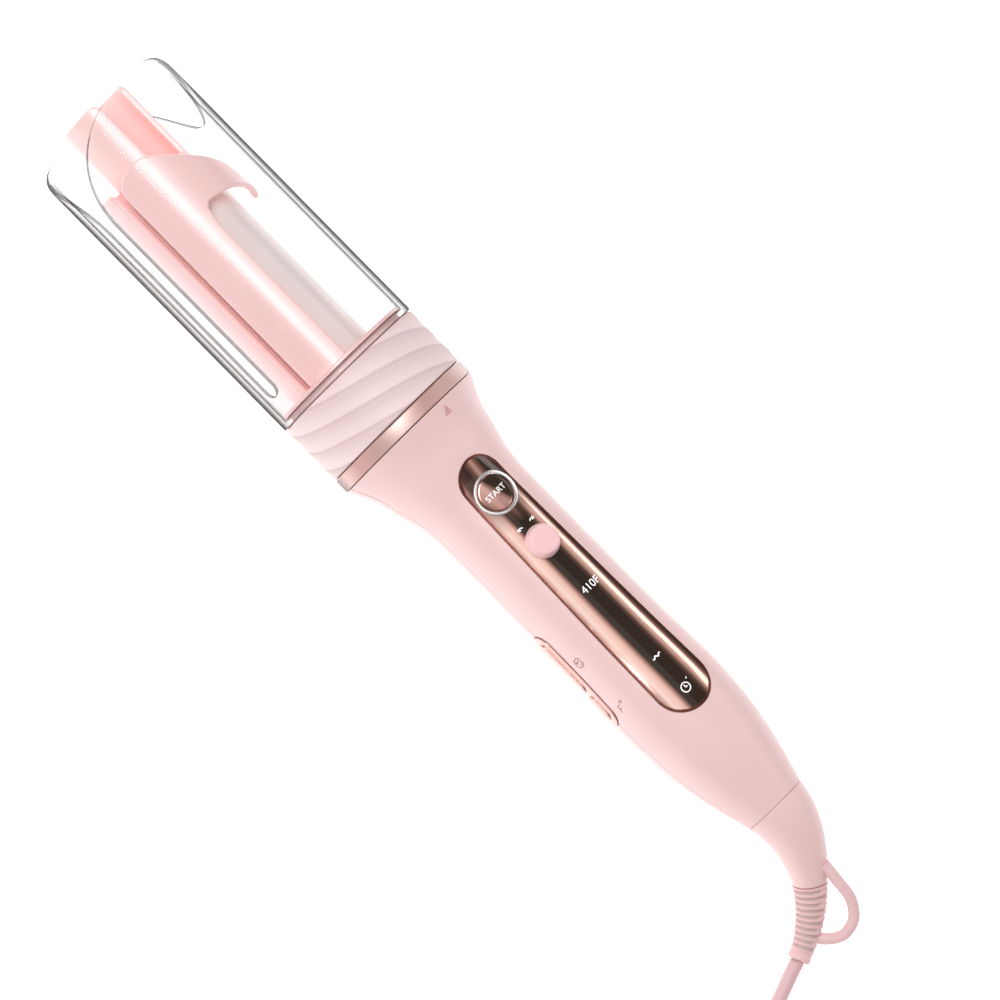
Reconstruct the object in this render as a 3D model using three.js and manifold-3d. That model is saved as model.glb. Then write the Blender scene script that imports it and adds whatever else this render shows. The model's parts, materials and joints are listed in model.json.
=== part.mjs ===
// Automatic hair curler: a clear guard and a motor-driven rotor round a heated barrel, on a handle
// with a control panel, a swivelling tail and a mains cord folded in a hank. Millimetres, +Z up.
//
// The curler's own pieces are drawn in the device frame: X is the curler's left side, Y is the
// station, which runs down the axis from the guard's tip to the tail, and Z leaves the panel.
// An angle about the axis is 0 on the panel's side and grows towards the curler's right side (-X).
// The cord, its hank and its plug lie on the table, and are drawn in the part's own frame.

import * as THREE from 'three';
import { mergeVertices } from 'three/addons/utils/BufferGeometryUtils.js';
import Module from 'manifold-3d';

const wasm = await Module();
wasm.setup();

// ---------------------------------------------------------------- driving dimensions

const FIT = 0.3; // gap between pieces that touch
const SNUG = 0.1; // gap between pieces that are seated in each other
const TURN_SIDES = 36; // sides of a large turned piece
const SMALL_SIDES = 16; // sides of a small turned piece

// Guard: the rim has two lobes, a narrow hair slot and a wide U-shaped notch.
const GUARD_RADIUS = 27.5;
const GUARD_WALL = 2.0;
const GUARD_END = 113.4;
const GUARD_SKIRT_END = 124.0;
const GUARD_SKIRT_RADIUS = 25.0;
const LOBE_ANGLE = 15;
const FACET_ANGLE = 5;
const SLOT_HALF_ANGLE = 6.5;
const SLOT_START = 31.6;
const SLOT_END = 104.0;
const NOTCH_DEPTH = 25.6;
const BAYONET_ANGLES = [30, 150, 270];
const BAYONET_TURN = 20;

// Barrel and rotor.
const BARREL_RADIUS = 12.7;
const BARREL_WALL = 0.8;
const BARREL_START = 30.0;
const BARREL_END = 116.4;
const TIP_START = -1.4;
const TIP_WALL = 2.2;
const ROTOR_RADIUS = 19.5;
const ROTOR_WALL = 2.2;
const ROTOR_BASE = 109.8;
const STEM_RADIUS = 6.5;

// Head: collar, ring and frame.
const COLLAR_START = 113.75;
const COLLAR_END = 135.6;
const COLLAR_RADIUS = 27.3;
const COLLAR_WAVES = 6;
const WAVE_DEPTH = 0.6;
const WAVE_TWIST = 44; // axial travel of a wave in one full turn
const RING_START = 135.9;
const RING_END = 140.8;
const RING_RADIUS = 27.2;
const FRAME_START = 133.9;
const FRAME_THICKNESS = 2.5;

// Drive.
const GEAR_MODULE = 0.6;
const RING_TEETH = 54;
const PINION_TEETH = 14;
const PRESSURE_ANGLE = 20;
const TOOTH_PLAY = 0.05;
const GEAR_START = 127.6;
const GEAR_WIDTH = 5.2;
const PINION_OFFSET = (GEAR_MODULE * (RING_TEETH - PINION_TEETH)) / 2;

// Handle: radius at each station, and how square its section is along the panel.
const HANDLE_START = 141.1;
const HANDLE_WALL = 2.4;
const HANDLE_SEAM = 305.2; // where the handle meets the tail
const HANDLE_PROFILE = [
  [141.1, 27.2], [146, 24.7], [151, 22.6], [157, 21.1], [163, 19.3], [170, 18.0], [182, 17.7],
  [210, 17.65], [235, 17.8], [257, 18.5], [268, 18.1], [279, 17.1], [291, 15.0], [305.2, 11.3],
];
const SQUARENESS = 0.045;

// Panel and controls.
const PANEL_START = 160.0;
const PANEL_END = 266.0;
const PANEL_START_HALF = 7.75;
const PANEL_END_HALF = 10.0;
const PANEL_THICKNESS = 1.1;
const START_STATION = 173.7;
const KNOB_STATION = 194.7;
const KNOB_PIVOT_DEPTH = 2.6;
const BOARD_TOP = 9.8;
const BOARD_THICKNESS = 1.6;
const SIDE_START = 215.0;
const SIDE_END = 252.5;
const SIDE_HALF = 4.75;
const SIDE_ANGLE = -95;
const SIDE_KEYS = { mode: [217.6, 238.4], unit: [240.0, 249.9] };
const KEY_HALF = 2.3;

// Tail: one curve from the end of the handle to the end of the strain relief.
const TAIL_START = 305.5;
const TAIL_CURVE = new THREE.CubicBezierCurve3(
  new THREE.Vector3(0, TAIL_START, 0),
  new THREE.Vector3(0, 322.6, 0),
  new THREE.Vector3(8.4, 340.7, -16.75),
  new THREE.Vector3(23.7, 346.3, -21.0),
);
const TAIL_SPLIT = 0.52; // where the cap meets the strain relief, as a part of the curve's length
const TAIL_START_RADIUS = 11.25;
const TAIL_SPLIT_RADIUS = 5.7;
const RELIEF_END_RADIUS = 3.5;
const RELIEF_RIBS = 11;
const LOOP_RADIUS = 1.85;

// The curler lies on its back with the axis level, on one flat facet of the guard.
const AXIS_HEIGHT = GUARD_RADIUS * Math.cos(THREE.MathUtils.degToRad(FACET_ANGLE / 2));
const ORIGIN_STATION = 166.65;

// Cord: 1.83 m (6 ft) in all: eight turns in a hank, a straight run on top of it and the end.
const CORD_RADIUS = 2.3;
const CORD_PITCH = 4.8;
const HANK_CENTRE = [-260.5, 40.0];
const HANK_HALF_RUN = 24.0;
const LAST_RUN = 6.0;
const HANK_OUTER_BEND = 19.3;
const HANK_INNER_BEND = 14.5;
const HANK_LAYERS = 5;
const HANK_BASE = 1.1;
const TIE_WIDTH = 12.0;
const TIE_THICKNESS = 0.8;
const PLUG_Y = 5.0;
const PLUG_FACE = -246.9;
const PLUG_LENGTH = 28.0;
const PLUG_THICKNESS = 14.0;
const BLADE_SPACING = 12.7;
const BLADE = { length: 17.0, root: 6.0, width: 6.35, thickness: 1.5 };

// ---------------------------------------------------------------- materials

const finish = (color, roughness, metalness = 0, extra = {}) =>
  new THREE.MeshStandardMaterial({ color, roughness, metalness, ...extra });

const FINISHES = {
  clear: finish('#f4f4f4', 0.05, 0, { transparent: true, opacity: 0.25 }),
  pinkGloss: finish('#f5cfcf', 0.25),
  pinkSatin: finish('#f3cfd1', 0.45),
  pinkSoft: finish('#e8d5d6', 0.7),
  pinkRubber: finish('#fcc9cc', 0.6),
  cordRubber: finish('#dcbcbf', 0.6),
  barrelCoat: finish('#d9c4c6', 0.25, 0.7),
  roseChrome: finish('#e9c6bf', 0.15, 1),
  roseMirror: finish('#7a5648', 0.1, 0.9),
  silver: finish('#e8e4e2', 0.25, 0.8),
  steel: finish('#b9bcc0', 0.35, 1),
  brass: finish('#b08d57', 0.35, 1),
  acetal: finish('#eeeae0', 0.5),
  insulator: finish('#3b3a3c', 0.6),
  board: finish('#2f6b4a', 0.6),
  ceramic: finish('#d8d2c4', 0.8),
  wire: finish('#c8b8a8', 0.6),
};

// ---------------------------------------------------------------- geometry helpers

const radians = THREE.MathUtils.degToRad;

/** Turns a geometry's faces outwards if they point inwards, and keeps positions only. */
function faceOut(source) {
  source.deleteAttribute('normal');
  source.deleteAttribute('uv');
  const geometry = mergeVertices(source, 1e-4);
  const position = geometry.attributes.position;
  const index = geometry.index.array;
  const corners = [new THREE.Vector3(), new THREE.Vector3(), new THREE.Vector3()];
  let volume = 0;
  for (let i = 0; i < index.length; i += 3) {
    corners.forEach((corner, k) => corner.fromBufferAttribute(position, index[i + k]));
    volume += corners[0].dot(corners[1].cross(corners[2]));
  }
  if (volume < 0) {
    for (let i = 0; i < index.length; i += 3) {
      [index[i], index[i + 1]] = [index[i + 1], index[i]];
    }
  }
  return geometry;
}

/** A solid that can be joined and cut. */
function solid(source) {
  const geometry = faceOut(source);
  const mesh = new wasm.Mesh({
    numProp: 3,
    vertProperties: new Float32Array(geometry.attributes.position.array),
    triVerts: new Uint32Array(geometry.index.array),
  });
  return new wasm.Manifold(mesh);
}

/** The three.js geometry of a solid. */
function geometryOf(body) {
  const mesh = body.getMesh();
  const geometry = new THREE.BufferGeometry();
  geometry.setAttribute('position', new THREE.BufferAttribute(mesh.vertProperties, 3));
  geometry.setIndex(new THREE.BufferAttribute(mesh.triVerts, 1));
  return geometry;
}

const join = (first, ...rest) => rest.reduce((body, next) => body.add(next), first);
const cut = (first, ...rest) => rest.reduce((body, next) => body.subtract(next), first);

/** A closed body between an inner and an outer skin; place(column, row, side) gives each point. */
function slab(columns, rows, place, wraps = false) {
  const positions = [];
  const index = [];
  for (const side of [0, 1]) {
    for (const column of columns) {
      for (const row of rows) {
        positions.push(...place(column, row, side));
      }
    }
  }
  const vertex = (i, j, side) => (side * columns.length + (i % columns.length)) * rows.length + j;
  const quad = (a, b, c, d) => index.push(a, b, c, a, c, d);
  const last = rows.length - 1;
  const spans = wraps ? columns.length : columns.length - 1;
  for (let i = 0; i < spans; i++) {
    for (let j = 0; j < last; j++) {
      quad(vertex(i, j, 1), vertex(i + 1, j, 1), vertex(i + 1, j + 1, 1), vertex(i, j + 1, 1));
      quad(vertex(i, j, 0), vertex(i, j + 1, 0), vertex(i + 1, j + 1, 0), vertex(i + 1, j, 0));
    }
    quad(vertex(i, 0, 0), vertex(i + 1, 0, 0), vertex(i + 1, 0, 1), vertex(i, 0, 1));
    quad(vertex(i, last, 1), vertex(i + 1, last, 1), vertex(i + 1, last, 0), vertex(i, last, 0));
  }
  if (!wraps) {
    for (let j = 0; j < last; j++) {
      quad(vertex(0, j, 0), vertex(0, j, 1), vertex(0, j + 1, 1), vertex(0, j + 1, 0));
      quad(vertex(spans, j, 1), vertex(spans, j, 0), vertex(spans, j + 1, 0), vertex(spans, j + 1, 1));
    }
  }
  const geometry = new THREE.BufferGeometry();
  geometry.setAttribute('position', new THREE.Float32BufferAttribute(positions, 3));
  geometry.setIndex(index);
  return geometry;
}

/** Evenly spaced values from a to b. */
const spread = (a, b, steps) => Array.from({ length: steps + 1 }, (_, i) => a + ((b - a) * i) / steps);

/** A point at an angle, radius and station of the device. */
function polar(angle, radius, station) {
  const a = radians(angle);
  return [-radius * Math.sin(a), station, radius * Math.cos(a)];
}

/** A curved wall between two radii, from front(angle) to back(angle). */
function wall(angles, front, back, inner, outer, wraps = false) {
  const place = (angle, row, side) =>
    polar(angle, side ? outer : inner, row ? back(angle) : front(angle));
  return slab(angles, [0, 1], place, wraps);
}

/** A piece turned about the device's axis; the profile's points are [radius, station]. */
function turned(profile, sides = TURN_SIDES) {
  const points = profile.map(([radius, station]) => new THREE.Vector2(radius, station));
  return new THREE.LatheGeometry(points, sides);
}

/** A washer or sleeve round the device's axis. */
function sleeve(inner, outer, start, end, sides = TURN_SIDES) {
  return turned([[inner, start], [outer, start], [outer, end], [inner, end], [inner, start]], sides);
}

/** A rod along Y between two stations. */
function rod(radius, x, start, end, z, sides = SMALL_SIDES) {
  const geometry = new THREE.CylinderGeometry(radius, radius, end - start, sides);
  return geometry.translate(x, (start + end) / 2, z);
}

/** A post along Z between two heights. */
function post(radius, x, station, low, high, sides = SMALL_SIDES) {
  const geometry = new THREE.CylinderGeometry(radius, radius, high - low, sides);
  return geometry.rotateX(Math.PI / 2).translate(x, station, (low + high) / 2);
}

/** A block between two corners. */
function block([x0, y0, z0], [x1, y1, z1]) {
  const geometry = new THREE.BoxGeometry(x1 - x0, y1 - y0, z1 - z0);
  return geometry.translate((x0 + x1) / 2, (y0 + y1) / 2, (z0 + z1) / 2);
}

/** A round rod along a curve. */
function tube(curve, radius, steps, sides = 8) {
  const section = new THREE.Shape(
    Array.from({ length: sides }, (_, i) => {
      const a = (2 * Math.PI * i) / sides;
      return new THREE.Vector2(radius * Math.cos(a), radius * Math.sin(a));
    }),
  );
  return new THREE.ExtrudeGeometry(section, { steps, extrudePath: curve, bevelEnabled: false });
}

/** A smooth curve through [x, y, z] points. */
const curveThrough = (points) =>
  new THREE.CatmullRomCurve3(points.map((point) => new THREE.Vector3(...point)));

/** Smooth value at x through [x, value] points. */
function smoothThrough(points, x) {
  const last = points.length - 1;
  let k = 0;
  while (k < last - 1 && x > points[k + 1][0]) {
    k += 1;
  }
  const slope = (i, j) => (points[j][1] - points[i][1]) / (points[j][0] - points[i][0]);
  const tangent = (i) => slope(Math.max(i - 1, 0), Math.min(i + 1, last));
  const [x0, v0] = points[k];
  const [x1, v1] = points[k + 1];
  const span = x1 - x0;
  const t = THREE.MathUtils.clamp((x - x0) / span, 0, 1);
  const rise = tangent(k) * span * t * (1 - t) ** 2;
  const fall = tangent(k + 1) * span * t * t * (t - 1);
  return v0 + (v1 - v0) * t * t * (3 - 2 * t) + rise + fall;
}

// ---------------------------------------------------------------- handle surface

const { smoothstep } = THREE.MathUtils;

/** Radius of the handle's outside at a station and an angle. */
function handleRadius(station, angle) {
  const square = SQUARENESS * smoothstep(station, 148, 172) * (1 - smoothstep(station, 272, 300));
  return smoothThrough(HANDLE_PROFILE, station) * (1 + (square * (1 - Math.cos(4 * radians(angle)))) / 2);
}

/** Height of the handle's outside over a place on the panel. */
function panelHeight(x, station) {
  let angle = 0;
  for (let i = 0; i < 4; i++) {
    angle = THREE.MathUtils.radToDeg(Math.asin(x / handleRadius(station, angle)));
  }
  return handleRadius(station, angle) * Math.cos(radians(angle));
}

/** Distance of the handle's left side from the middle plane, at a height. */
function sideReach(z, station) {
  let angle = -90;
  for (let i = 0; i < 4; i++) {
    angle = -THREE.MathUtils.radToDeg(Math.acos(z / handleRadius(station, angle)));
  }
  return -handleRadius(station, angle) * Math.sin(radians(angle));
}

/** Half-width of a stadium's outline at a distance along it; both ends are round. */
function stadiumHalf(station, start, end, startHalf, endHalf) {
  const half = startHalf + ((endHalf - startHalf) * (station - start)) / (end - start);
  const near = Math.min(station - start, startHalf);
  const far = Math.min(end - station, endHalf);
  const roundStart = Math.sqrt(Math.max(startHalf ** 2 - (startHalf - near) ** 2, 0)) / startHalf;
  const roundEnd = Math.sqrt(Math.max(endHalf ** 2 - (endHalf - far) ** 2, 0)) / endHalf;
  return half * Math.min(roundStart, roundEnd);
}

/** Rows along a stadium: close together on its round ends. */
function stadiumRows(start, end, startHalf, endHalf, middle) {
  const turn = [0.15, 0.55, 1.05].map((a) => 1 - Math.cos(a));
  const rows = turn.map((t) => start + startHalf * t);
  rows.push(...spread(start + startHalf, end - endHalf, middle));
  rows.push(...turn.map((t) => end - endHalf * t).reverse());
  return rows;
}

/** A plate that follows the panel's surface, between two depths below it. */
function panelPlate(grow, low, high) {
  const start = PANEL_START - grow;
  const end = PANEL_END + grow;
  const halves = [PANEL_START_HALF + grow, PANEL_END_HALF + grow];
  const place = (across, station, side) => {
    const x = across * stadiumHalf(station, start, end, ...halves);
    return [x, station, panelHeight(x, station) + (side ? high : low)];
  };
  return slab(spread(-1, 1, 4), stadiumRows(start, end, ...halves, 5), place);
}

const SIDE_HEIGHT = handleRadius((SIDE_START + SIDE_END) / 2, SIDE_ANGLE) * Math.cos(radians(SIDE_ANGLE));

/** A stadium plate that follows the handle's left side, between two depths. */
function sidePlate(start, end, half, low, high) {
  const place = (across, station, side) => {
    const z = SIDE_HEIGHT + across * stadiumHalf(station, start, end, half, half);
    return [sideReach(z, station) + (side ? high : low), station, z];
  };
  return slab(spread(-1, 1, 3), stadiumRows(start, end, half, half, 1), place);
}

/** Lets a piece that is turned about Z at a station follow the panel's curve. */
function bendToPanel(geometry, station) {
  const crown = panelHeight(0, station);
  geometry.rotateX(Math.PI / 2).translate(0, station, 0);
  const position = geometry.attributes.position;
  for (let i = 0; i < position.count; i++) {
    const height = panelHeight(position.getX(i), position.getY(i));
    position.setZ(i, position.getZ(i) + Math.min(height, crown + 1));
  }
  return geometry;
}

// ---------------------------------------------------------------- scene graph

const part = new THREE.Group();
const device = new THREE.Group();
device.position.set(ORIGIN_STATION, 0, AXIS_HEIGHT);
device.rotation.z = Math.PI / 2;
part.add(device);

/** Adds a named mesh, from a geometry or from a solid. */
function add(name, shape, material, parent = device) {
  const geometry = shape.getMesh ? geometryOf(shape) : faceOut(shape);
  geometry.computeVertexNormals();
  const mesh = new THREE.Mesh(geometry, material);
  mesh.name = name;
  parent.add(mesh);
}

// ---------------------------------------------------------------- clear guard

const OTHER_LOBE = LOBE_ANGLE + 180;

/** Station of the guard's rim at an angle. */
function guardRim(angle) {
  const turn = (((angle - LOBE_ANGLE) % 360) + 360) % 360;
  const onSlotSide = turn > 180;
  const fromLobe = onSlotSide ? Math.min(turn - 180, 360 - turn) : Math.min(turn, 180 - turn);
  const edge = 90 - SLOT_HALF_ANGLE;
  if (!onSlotSide) {
    return (NOTCH_DEPTH * (1 - Math.cos(Math.PI * (fromLobe / 90) ** 2.1))) / 2;
  }
  if (fromLobe <= edge) {
    return SLOT_START * (1 - Math.sqrt(1 - (fromLobe / edge) ** 2));
  }
  const half = GUARD_RADIUS * radians(SLOT_HALF_ANGLE);
  const across = GUARD_RADIUS * radians(90 - fromLobe);
  return SLOT_END - half + Math.sqrt(Math.max(half ** 2 - across ** 2, 0));
}

/** Angles of the guard's columns: even facets, then close together towards the slot. */
function guardAngles() {
  const angles = spread(LOBE_ANGLE + FACET_ANGLE / 2, OTHER_LOBE - FACET_ANGLE / 2, 180 / FACET_ANGLE - 1);
  const edge = 90 - SLOT_HALF_ANGLE;
  const towardsSlot = [8, 20, 32, 44, 56, 68, 79, 90].map((turn) => edge * Math.sin(radians(turn)));
  const slotHalf = [1, 0.9, 0.6, 0.25].map((step) => step * (SLOT_HALF_ANGLE - 0.03));
  angles.push(...towardsSlot.map((a) => OTHER_LOBE + a));
  angles.push(...slotHalf.map((a) => OTHER_LOBE + 90 - a));
  angles.push(...slotHalf.map((a) => OTHER_LOBE + 90 + a).reverse());
  angles.push(...towardsSlot.map((a) => OTHER_LOBE + 180 - a).reverse());
  return angles;
}

function clearGuard() {
  const step = GUARD_END - GUARD_WALL;
  const skirtInner = GUARD_SKIRT_RADIUS - 1.6;
  const rows = [
    { outer: GUARD_RADIUS, inner: GUARD_RADIUS - GUARD_WALL },
    { outer: GUARD_RADIUS, outerAt: GUARD_END, inner: GUARD_RADIUS - GUARD_WALL, innerAt: step },
    { outer: GUARD_SKIRT_RADIUS, outerAt: GUARD_END, inner: skirtInner, innerAt: step },
    { outer: GUARD_SKIRT_RADIUS, outerAt: GUARD_SKIRT_END, inner: skirtInner, innerAt: GUARD_SKIRT_END },
  ];
  const place = (angle, row, side) => {
    const station = side ? row.outerAt : row.innerAt;
    return polar(angle, side ? row.outer : row.inner, station ?? guardRim(angle));
  };
  const lugs = BAYONET_ANGLES.map((angle) =>
    solid(wall(spread(angle - 5, angle + 5, 2), () => 120.2, () => 122.2, 22.2, skirtInner + 0.4)),
  );
  return join(solid(slab(guardAngles(), rows, place, true)), ...lugs);
}

add('clear_guard', clearGuard(), FINISHES.clear);

/** The ring that the guard locks on: three L-shaped channels take the guard's lugs. */
function guardBayonet() {
  const channels = BAYONET_ANGLES.flatMap((angle) => {
    const run = spread(angle - 6, angle + BAYONET_TURN + 6, 4);
    const entry = spread(angle + BAYONET_TURN - 6, angle + BAYONET_TURN + 6, 2);
    return [
      solid(wall(run, () => 119.8, () => 122.6, 21.9, 24)),
      solid(wall(entry, () => 117, () => 122.6, 21.9, 24)),
    ];
  });
  return cut(solid(sleeve(21.0, 23.1, 118.0, FRAME_START - SNUG)), ...channels);
}

add('guard_bayonet', guardBayonet(), FINISHES.acetal);

// ---------------------------------------------------------------- barrel

/** The pink C-shaped sleeve on the barrel's free end, with a spigot that plugs into the barrel. */
function barrelTip() {
  const end = BARREL_START - SNUG;
  const inner = BARREL_RADIUS - 0.3 - TIP_WALL;
  const opening = [75, 351.5];
  const corner = 3.2;
  const front = (angle) => {
    const reach = radians(Math.min(angle - opening[0], opening[1] - angle)) * BARREL_RADIUS;
    const short = Math.max(corner - reach, 0);
    return TIP_START + corner - Math.sqrt(corner ** 2 - short ** 2);
  };
  const angles = [...spread(opening[0], opening[0] + 16, 4), ...spread(100, 326, 18), 335.5, 341, 346, 351.5];
  const shell = solid(wall(angles, front, () => end, inner, inner + TIP_WALL));
  const floor = turned([
    [0, end - 2], [inner + TIP_WALL, end - 2], [inner + TIP_WALL, end], [11.7, end], [11.7, end + 6],
    [10.2, end + 6], [10.2, end], [0, end],
  ]);
  return join(shell, solid(floor));
}

add('barrel_tip', barrelTip(), FINISHES.pinkGloss);
const barrelShape = sleeve(BARREL_RADIUS - BARREL_WALL, BARREL_RADIUS, BARREL_START, BARREL_END);
add('barrel', barrelShape, FINISHES.barrelCoat);
add('heater_core', block([-4, 46, -2.6], [4, 100, 2.6]), FINISHES.ceramic);

/** The spring clip that presses the heater's heat spreader on the barrel's wall. */
const clipAngles = spread(70, 290, 16);
add('heater_clip', wall(clipAngles, () => 48, () => 98, 9.6, 11.4), FINISHES.steel);

/** The insulating seat: it closes the barrel's foot and carries the barrel on a hollow stem. */
const mountProfile = [
  [4.2, 108], [11.7, 108], [11.7, BARREL_END + SNUG], [BARREL_RADIUS, BARREL_END + SNUG],
  [BARREL_RADIUS, 118.0], [STEM_RADIUS, 118.0], [STEM_RADIUS, 125.6], [5.6, 125.6], [5.6, 126.8],
  [STEM_RADIUS, 126.8], [STEM_RADIUS, FRAME_START - SNUG], [5.5, FRAME_START - SNUG], [5.5, 137.6],
  [4.2, 137.6], [4.2, 108],
];
add('barrel_mount', turned(mountProfile, 24), FINISHES.insulator);

// ---------------------------------------------------------------- rotor

/** Front rim of the rotor's arm and of the hook that runs from it. */
const HOOK_RIM = [[-59, 28], [-55, 24], [-37.5, 21.3], [-21, 21.3], [-5, 24.4], [9, 28.4], [35, 35.3], [51, 40.3],
  [65, 47.5], [78, 51.0], [84, 52.6]];
const HOOK_BACK = [[-9.6, 56], [-7.5, 49.5], [-4, 46.8], [0, 46], [30, 47.5], [65, 51.5], [84, 54.4]];
const ARM_EDGE = -9.6;

/** The rotor: an arm with a hook, a far wall and a hair slot between them, on a cup-shaped hub. */
function rotorCage() {
  const inner = ROTOR_RADIUS - ROTOR_WALL;
  const foot = ROTOR_BASE + 0.8;
  const hookAngles = [-59, -57, -52, -46, -37, -28, -19, -13, ARM_EDGE, ARM_EDGE + 0.05, -7.5, -5, -2];
  hookAngles.push(...spread(4, 76, 9), 81, 84);
  const hookBack = (angle) => (angle <= ARM_EDGE ? foot : smoothThrough(HOOK_BACK, angle));
  const arm = wall(hookAngles, (angle) => smoothThrough(HOOK_RIM, angle), hookBack, inner, ROTOR_RADIUS);
  const wallRim = (angle) => 22.5 + 5.5 * Math.max((angle + 80) / 10, 0, (-158 - angle) / 12) ** 2;
  const wallAngles = [-170, -165, -160, -154, ...spread(-147, -91, 8), -84, -78, -74, -70];
  const farWall = wall(wallAngles, wallRim, () => foot, inner, ROTOR_RADIUS);
  const cup = turned([
    [13.3, ROTOR_BASE], [24.9, ROTOR_BASE], [24.9, 111.1], [20.6, 111.1], [20.6, 133.3], [19.05, 133.3],
    [19.05, 120.4], [10.2, 120.4], [10.2, 125.2], [8.3, 125.2], [8.3, 118.5], [13.3, 118.5],
    [13.3, ROTOR_BASE],
  ]);
  return join(solid(cup), solid(arm), solid(farWall));
}

add('rotor_cage', rotorCage(), FINISHES.pinkGloss);
add('rotor_bush', sleeve(STEM_RADIUS + 0.08, 8.2, 118.3, 125.0, 32), FINISHES.brass);

const retainerAngles = spread(20, 340, 20);
add('rotor_retainer', wall(retainerAngles, () => 125.8, () => 126.6, 5.7, 9.4), FINISHES.steel);

// ---------------------------------------------------------------- gears

/** Half the angle of an involute tooth at a radius, in radians. */
function toothHalfAngle(teeth, radius) {
  const pitch = (GEAR_MODULE * teeth) / 2;
  const base = pitch * Math.cos(radians(PRESSURE_ANGLE));
  const involute = (r) => {
    const a = Math.acos(Math.min(base / r, 1));
    return Math.tan(a) - a;
  };
  return Math.PI / (2 * teeth) + involute(pitch) - involute(radius);
}

/** Outline of a gear with one tooth pointing down, from its root to its tip. */
function gearPoints(teeth, root, tip, play) {
  const pitch = (GEAR_MODULE * teeth) / 2;
  const flank = [root, tip];
  const points = [];
  const addPoint = (radius, angle) =>
    points.push(new THREE.Vector2(radius * Math.cos(angle), radius * Math.sin(angle)));
  for (let tooth = 0; tooth < teeth; tooth++) {
    const middle = -Math.PI / 2 + (2 * Math.PI * tooth) / teeth;
    const half = (radius) => toothHalfAngle(teeth, radius) - play / pitch;
    flank.forEach((radius) => addPoint(radius, middle - half(radius)));
    flank.toReversed().forEach((radius) => addPoint(radius, middle + half(radius)));
  }
  return points;
}

/** A circle as points, for a round outline or a round hole. */
const circlePoints = (radius, sides) =>
  Array.from({ length: sides }, (_, i) => {
    const a = (2 * Math.PI * i) / sides;
    return new THREE.Vector2(radius * Math.cos(a), radius * Math.sin(a));
  });

/** A toothed disc across the device's axis: an outline with one hole. */
function gearDisc(outline, hole) {
  const shape = new THREE.Shape(outline);
  shape.holes.push(new THREE.Path(hole));
  const geometry = new THREE.ExtrudeGeometry(shape, { depth: GEAR_WIDTH, bevelEnabled: false });
  return geometry.rotateX(Math.PI / 2).translate(0, GEAR_START + GEAR_WIDTH, 0);
}

const ringPitch = (GEAR_MODULE * RING_TEETH) / 2;
const ringSpaces = gearPoints(RING_TEETH, ringPitch - GEAR_MODULE, ringPitch + 0.75, -TOOTH_PLAY);
add('rotor_ring_gear', gearDisc(circlePoints(18.9, 36), ringSpaces), FINISHES.acetal);

const pinionPitch = (GEAR_MODULE * PINION_TEETH) / 2;
const pinionTeeth = gearPoints(PINION_TEETH, pinionPitch - 0.75, pinionPitch + GEAR_MODULE, TOOTH_PLAY);
add('pinion', gearDisc(pinionTeeth, circlePoints(1.6, 16)).translate(0, 0, -PINION_OFFSET), FINISHES.brass);
add('output_shaft', rod(1.5, 0, GEAR_START - 0.6, 151.0, -PINION_OFFSET), FINISHES.steel);

// ---------------------------------------------------------------- head

/** The soft collar: twisted waves run round it, and each one rises slowly and drops quickly. */
function waveCollar() {
  const stations = spread(COLLAR_START + 0.7, COLLAR_END - 0.7, 6);
  const wave = (angle, station) => {
    const phase = (COLLAR_WAVES * station) / WAVE_TWIST + (COLLAR_WAVES * -angle) / 360;
    const t = phase - Math.floor(phase);
    return t < 0.75 ? smoothstep(t / 0.75, 0, 1) : 1 - smoothstep((t - 0.75) / 0.25, 0, 1);
  };
  const rows = [COLLAR_START, ...stations, COLLAR_END];
  const place = (angle, station, side) => {
    const onEnd = station === COLLAR_START || station === COLLAR_END;
    const skin = onEnd ? COLLAR_RADIUS - 0.9 : COLLAR_RADIUS - WAVE_DEPTH * (1 - wave(angle, station));
    return polar(angle, side ? skin : 25.3, station);
  };
  const shell = solid(slab(spread(0, 352.5, 47), rows, place, true));
  return join(shell, solid(sleeve(24.5, 25.6, 126.5, COLLAR_END)));
}

add('wave_collar', waveCollar(), FINISHES.pinkSoft);

const ringBevel = 0.4;
const ringProfile = [
  [24.6, RING_START], [RING_RADIUS - ringBevel, RING_START], [RING_RADIUS, RING_START + ringBevel],
  [RING_RADIUS, RING_END], [24.6, RING_END], [24.6, RING_START],
];
add('trim_ring', turned(ringProfile, 48), FINISHES.roseChrome);

/** Places of the four posts that carry the motor bracket. */
const BRACKET_POSTS = [55, 130, 230, 305].map((angle) => polar(angle, 17.5, 0));
const BRACKET_START = 144.3;
const BRACKET_END = 146.2;

/** The frame in the head: a plate with a rear sleeve and four screw posts. */
function headFrame() {
  const plateEnd = FRAME_START + FRAME_THICKNESS;
  const plate = solid(sleeve(5.8, 24.2, FRAME_START, plateEnd));
  const rear = solid(sleeve(21.3, 22.9, plateEnd - 0.5, 143.2));
  const posts = BRACKET_POSTS.map(([x, , z]) => solid(rod(3.0, x, plateEnd - 0.5, BRACKET_START - SNUG, z)));
  const bores = BRACKET_POSTS.map(([x, , z]) => solid(rod(1.35, x, 136.0, 150.0, z, 12)));
  const shaftHole = solid(rod(2.2, 0, 130.0, 140.0, -PINION_OFFSET));
  return cut(join(plate, rear, ...posts), ...bores, shaftHole);
}

add('head_frame', headFrame(), FINISHES.insulator);

/** The plate that holds the gearbox; a notch at its top lets the heater's leads pass. */
function motorBracket() {
  const plate = solid(rod(20.2, 0, BRACKET_START, BRACKET_END, 0, 28));
  const holes = BRACKET_POSTS.map(([x, , z]) => solid(rod(1.35, x, 140, 150, z, 12)));
  const bossHole = solid(rod(4.0, 0, 140, 150, -PINION_OFFSET));
  return cut(plate, ...holes, bossHole, solid(block([-6, 140, 10.5], [6, 150, 25])));
}

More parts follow.
